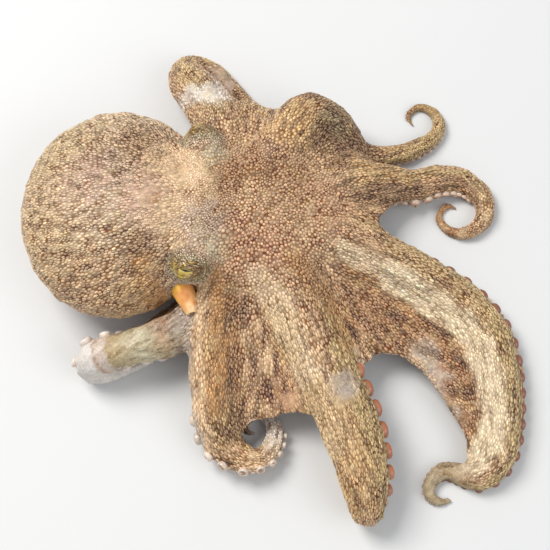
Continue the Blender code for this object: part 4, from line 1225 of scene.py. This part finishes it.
# The profile: out along the wall, over the lip, and back down the bore to its closed end.
far = np.concatenate([run, length + np.array((0.25, 0.35, 0.2)), length - np.linspace(0.5, FUNNEL_BORE[1], 6),
                      [length - FUNNEL_BORE[1]]])
radius = np.concatenate([route[:, 3] - 0.1, [1.85, 1.6, 1.35], np.linspace(FUNNEL_BORE[0], 0.9, 6), [0.0]])
inside = far.clip(0, length)
middle = along_route(route, run, inside)[:, :3] + (far - inside)[:, None] * along[-1]
turn = turns(48)[None, :, None]
ring = (np.cos(turn) * along_route(side, run, far)[:, None]
        + np.sin(turn) * along_route(face, run, far)[:, None])
crease = 1 + (0.03 * np.cos(7 * turn + 0.5) + 0.05 * np.cos(2 * turn + 0.2 * far[:, None, None])
              ) * smooth(4, 14, far)[:, None, None]
grid = middle[:, None] + radius[:, None, None] * crease * ring
funnel = closed_grids("funnel_tube", [np.concatenate([0 * grid[:1] + middle[0], grid])])
# Yellow by the head and its outer side, orange down the other, painted shade of a fold between, and a pale
# lip.
at = points_of(funnel)
way = unit(route[-1, :3] - route[0, :3])
across = (at - route[0, :3]) @ unit(np.cross(way, (0.0, 0.0, 1.0))) + 0.5 * waves(at, 3, 28)
down = ((at - route[0, :3]) @ way / length).clip(0, 1) + 0.1 * waves(at, 4, 25)
down = down - 0.03 * across * (1 - smooth(0.75, 0.95, down))
# Painted shade: a darker band across the tube, as a fold's shade.
fold_shade = 1 - 0.4 * np.exp(-(((across + 1.5 * (down - 0.3)) / 0.6) ** 2)) * (1 - smooth(0.8, 0.95, down))
shown = [np.interp(down, (0.35, 0.55, 0.76, 0.88, 0.96, 1.0), values) for values in (
    (0.60, 0.82, 0.76, 0.70, 0.80, 0.84), (0.30, 0.48, 0.34, 0.30, 0.42, 0.55),
    (0.08, 0.04, 0.09, 0.09, 0.14, 0.28))]
keep_attribute(funnel, "tone", np.column_stack(shown) * fold_shade[:, None] ** (0.6, 1.0, 1.2))
tube, wire = new_finish("funnel_flesh")
vein = wire.noise(1.8, 4.0, 0.6)
tone = wire.mix(vein.steps(0.45, 0.8) * 0.4, wire.attribute("tone"), (0.46, 0.20, 0.06))
wire.surface(Base_Color=tone, Roughness=vein * 0.3 + 0.25, Normal=wire.bump(vein, 0.3, 0.3),
             Subsurface_Weight=0.2, Subsurface_Radius=(0.003, 0.0012, 0.0006), Subsurface_Scale=1.0,
             Coat_Weight=0.5, Coat_Roughness=0.12)
funnel.data.materials.append(tube)
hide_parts("funnel")
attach(funnel, "root")

# --- Floor, light and camera ------------------------------------------------------------------
# A pale floor under a broad, soft light from above, and the view from nearly overhead.
ELEVATION = math.radians(70.0)
DISTANCE = 0.45
HALF_VIEW = 0.110
FLOOR_HALF = 3
FLOOR_DROP = 0.0002

floor = bpy.data.meshes.new("floor")
floor.from_pydata([(x * FLOOR_HALF, y * FLOOR_HALF, -FLOOR_DROP) for x, y in (
    (-1, -1), (1, -1), (1, 1), (-1, 1))], [], [(0, 1, 2, 3)])
floor = bpy.data.objects.new("floor", floor)
bpy.context.scene.collection.objects.link(floor)
ground, wire = new_finish("floor")
wire.surface(Base_Color=wire.mix(wire.noise(260), (0.60, 0.60, 0.60), (0.66, 0.66, 0.65)), Roughness=0.7)
floor.data.materials.append(ground)


def soft_light(name, place, size, power, colour):
    """A square lamp that faces the object's middle."""
    lamp = bpy.data.lights.new(name, "AREA")
    lamp.size, lamp.energy, lamp.color = size, power, colour
    light = bpy.data.objects.new(name, lamp)
    bpy.context.scene.collection.objects.link(light)
    light.location = place
    light.rotation_euler = Vector(place).to_track_quat("Z", "Y").to_euler()


soft_light("key", (-0.55, 0.35, 0.95), 0.55, 13.0, (1.0, 0.98, 0.95))
soft_light("fill", (0.8, -0.5, 0.7), 0.9, 5.0, (0.95, 0.98, 1.0))
world = bpy.data.worlds.new("sky")
world.use_nodes = True
world.node_tree.nodes["Background"].inputs["Color"].default_value = (0.93, 0.96, 1.0, 1.0)
world.node_tree.nodes["Background"].inputs["Strength"].default_value = 0.55
bpy.context.scene.world = world
bpy.context.scene.view_settings.view_transform = "Standard"

camera = bpy.data.objects.new("camera", bpy.data.cameras.new("camera"))
bpy.context.scene.collection.objects.link(camera)
target = Vector((SHIFT[0] * MM, SHIFT[1] * MM, 0.015))
back = Vector((0.0, -math.cos(ELEVATION), math.sin(ELEVATION)))
camera.location = target + back * DISTANCE
camera.rotation_euler = back.to_track_quat("Z", "Y").to_euler()
camera.data.angle = 2 * math.atan(HALF_VIEW / DISTANCE)
camera.data.clip_start = 0.01
bpy.context.scene.camera = camera
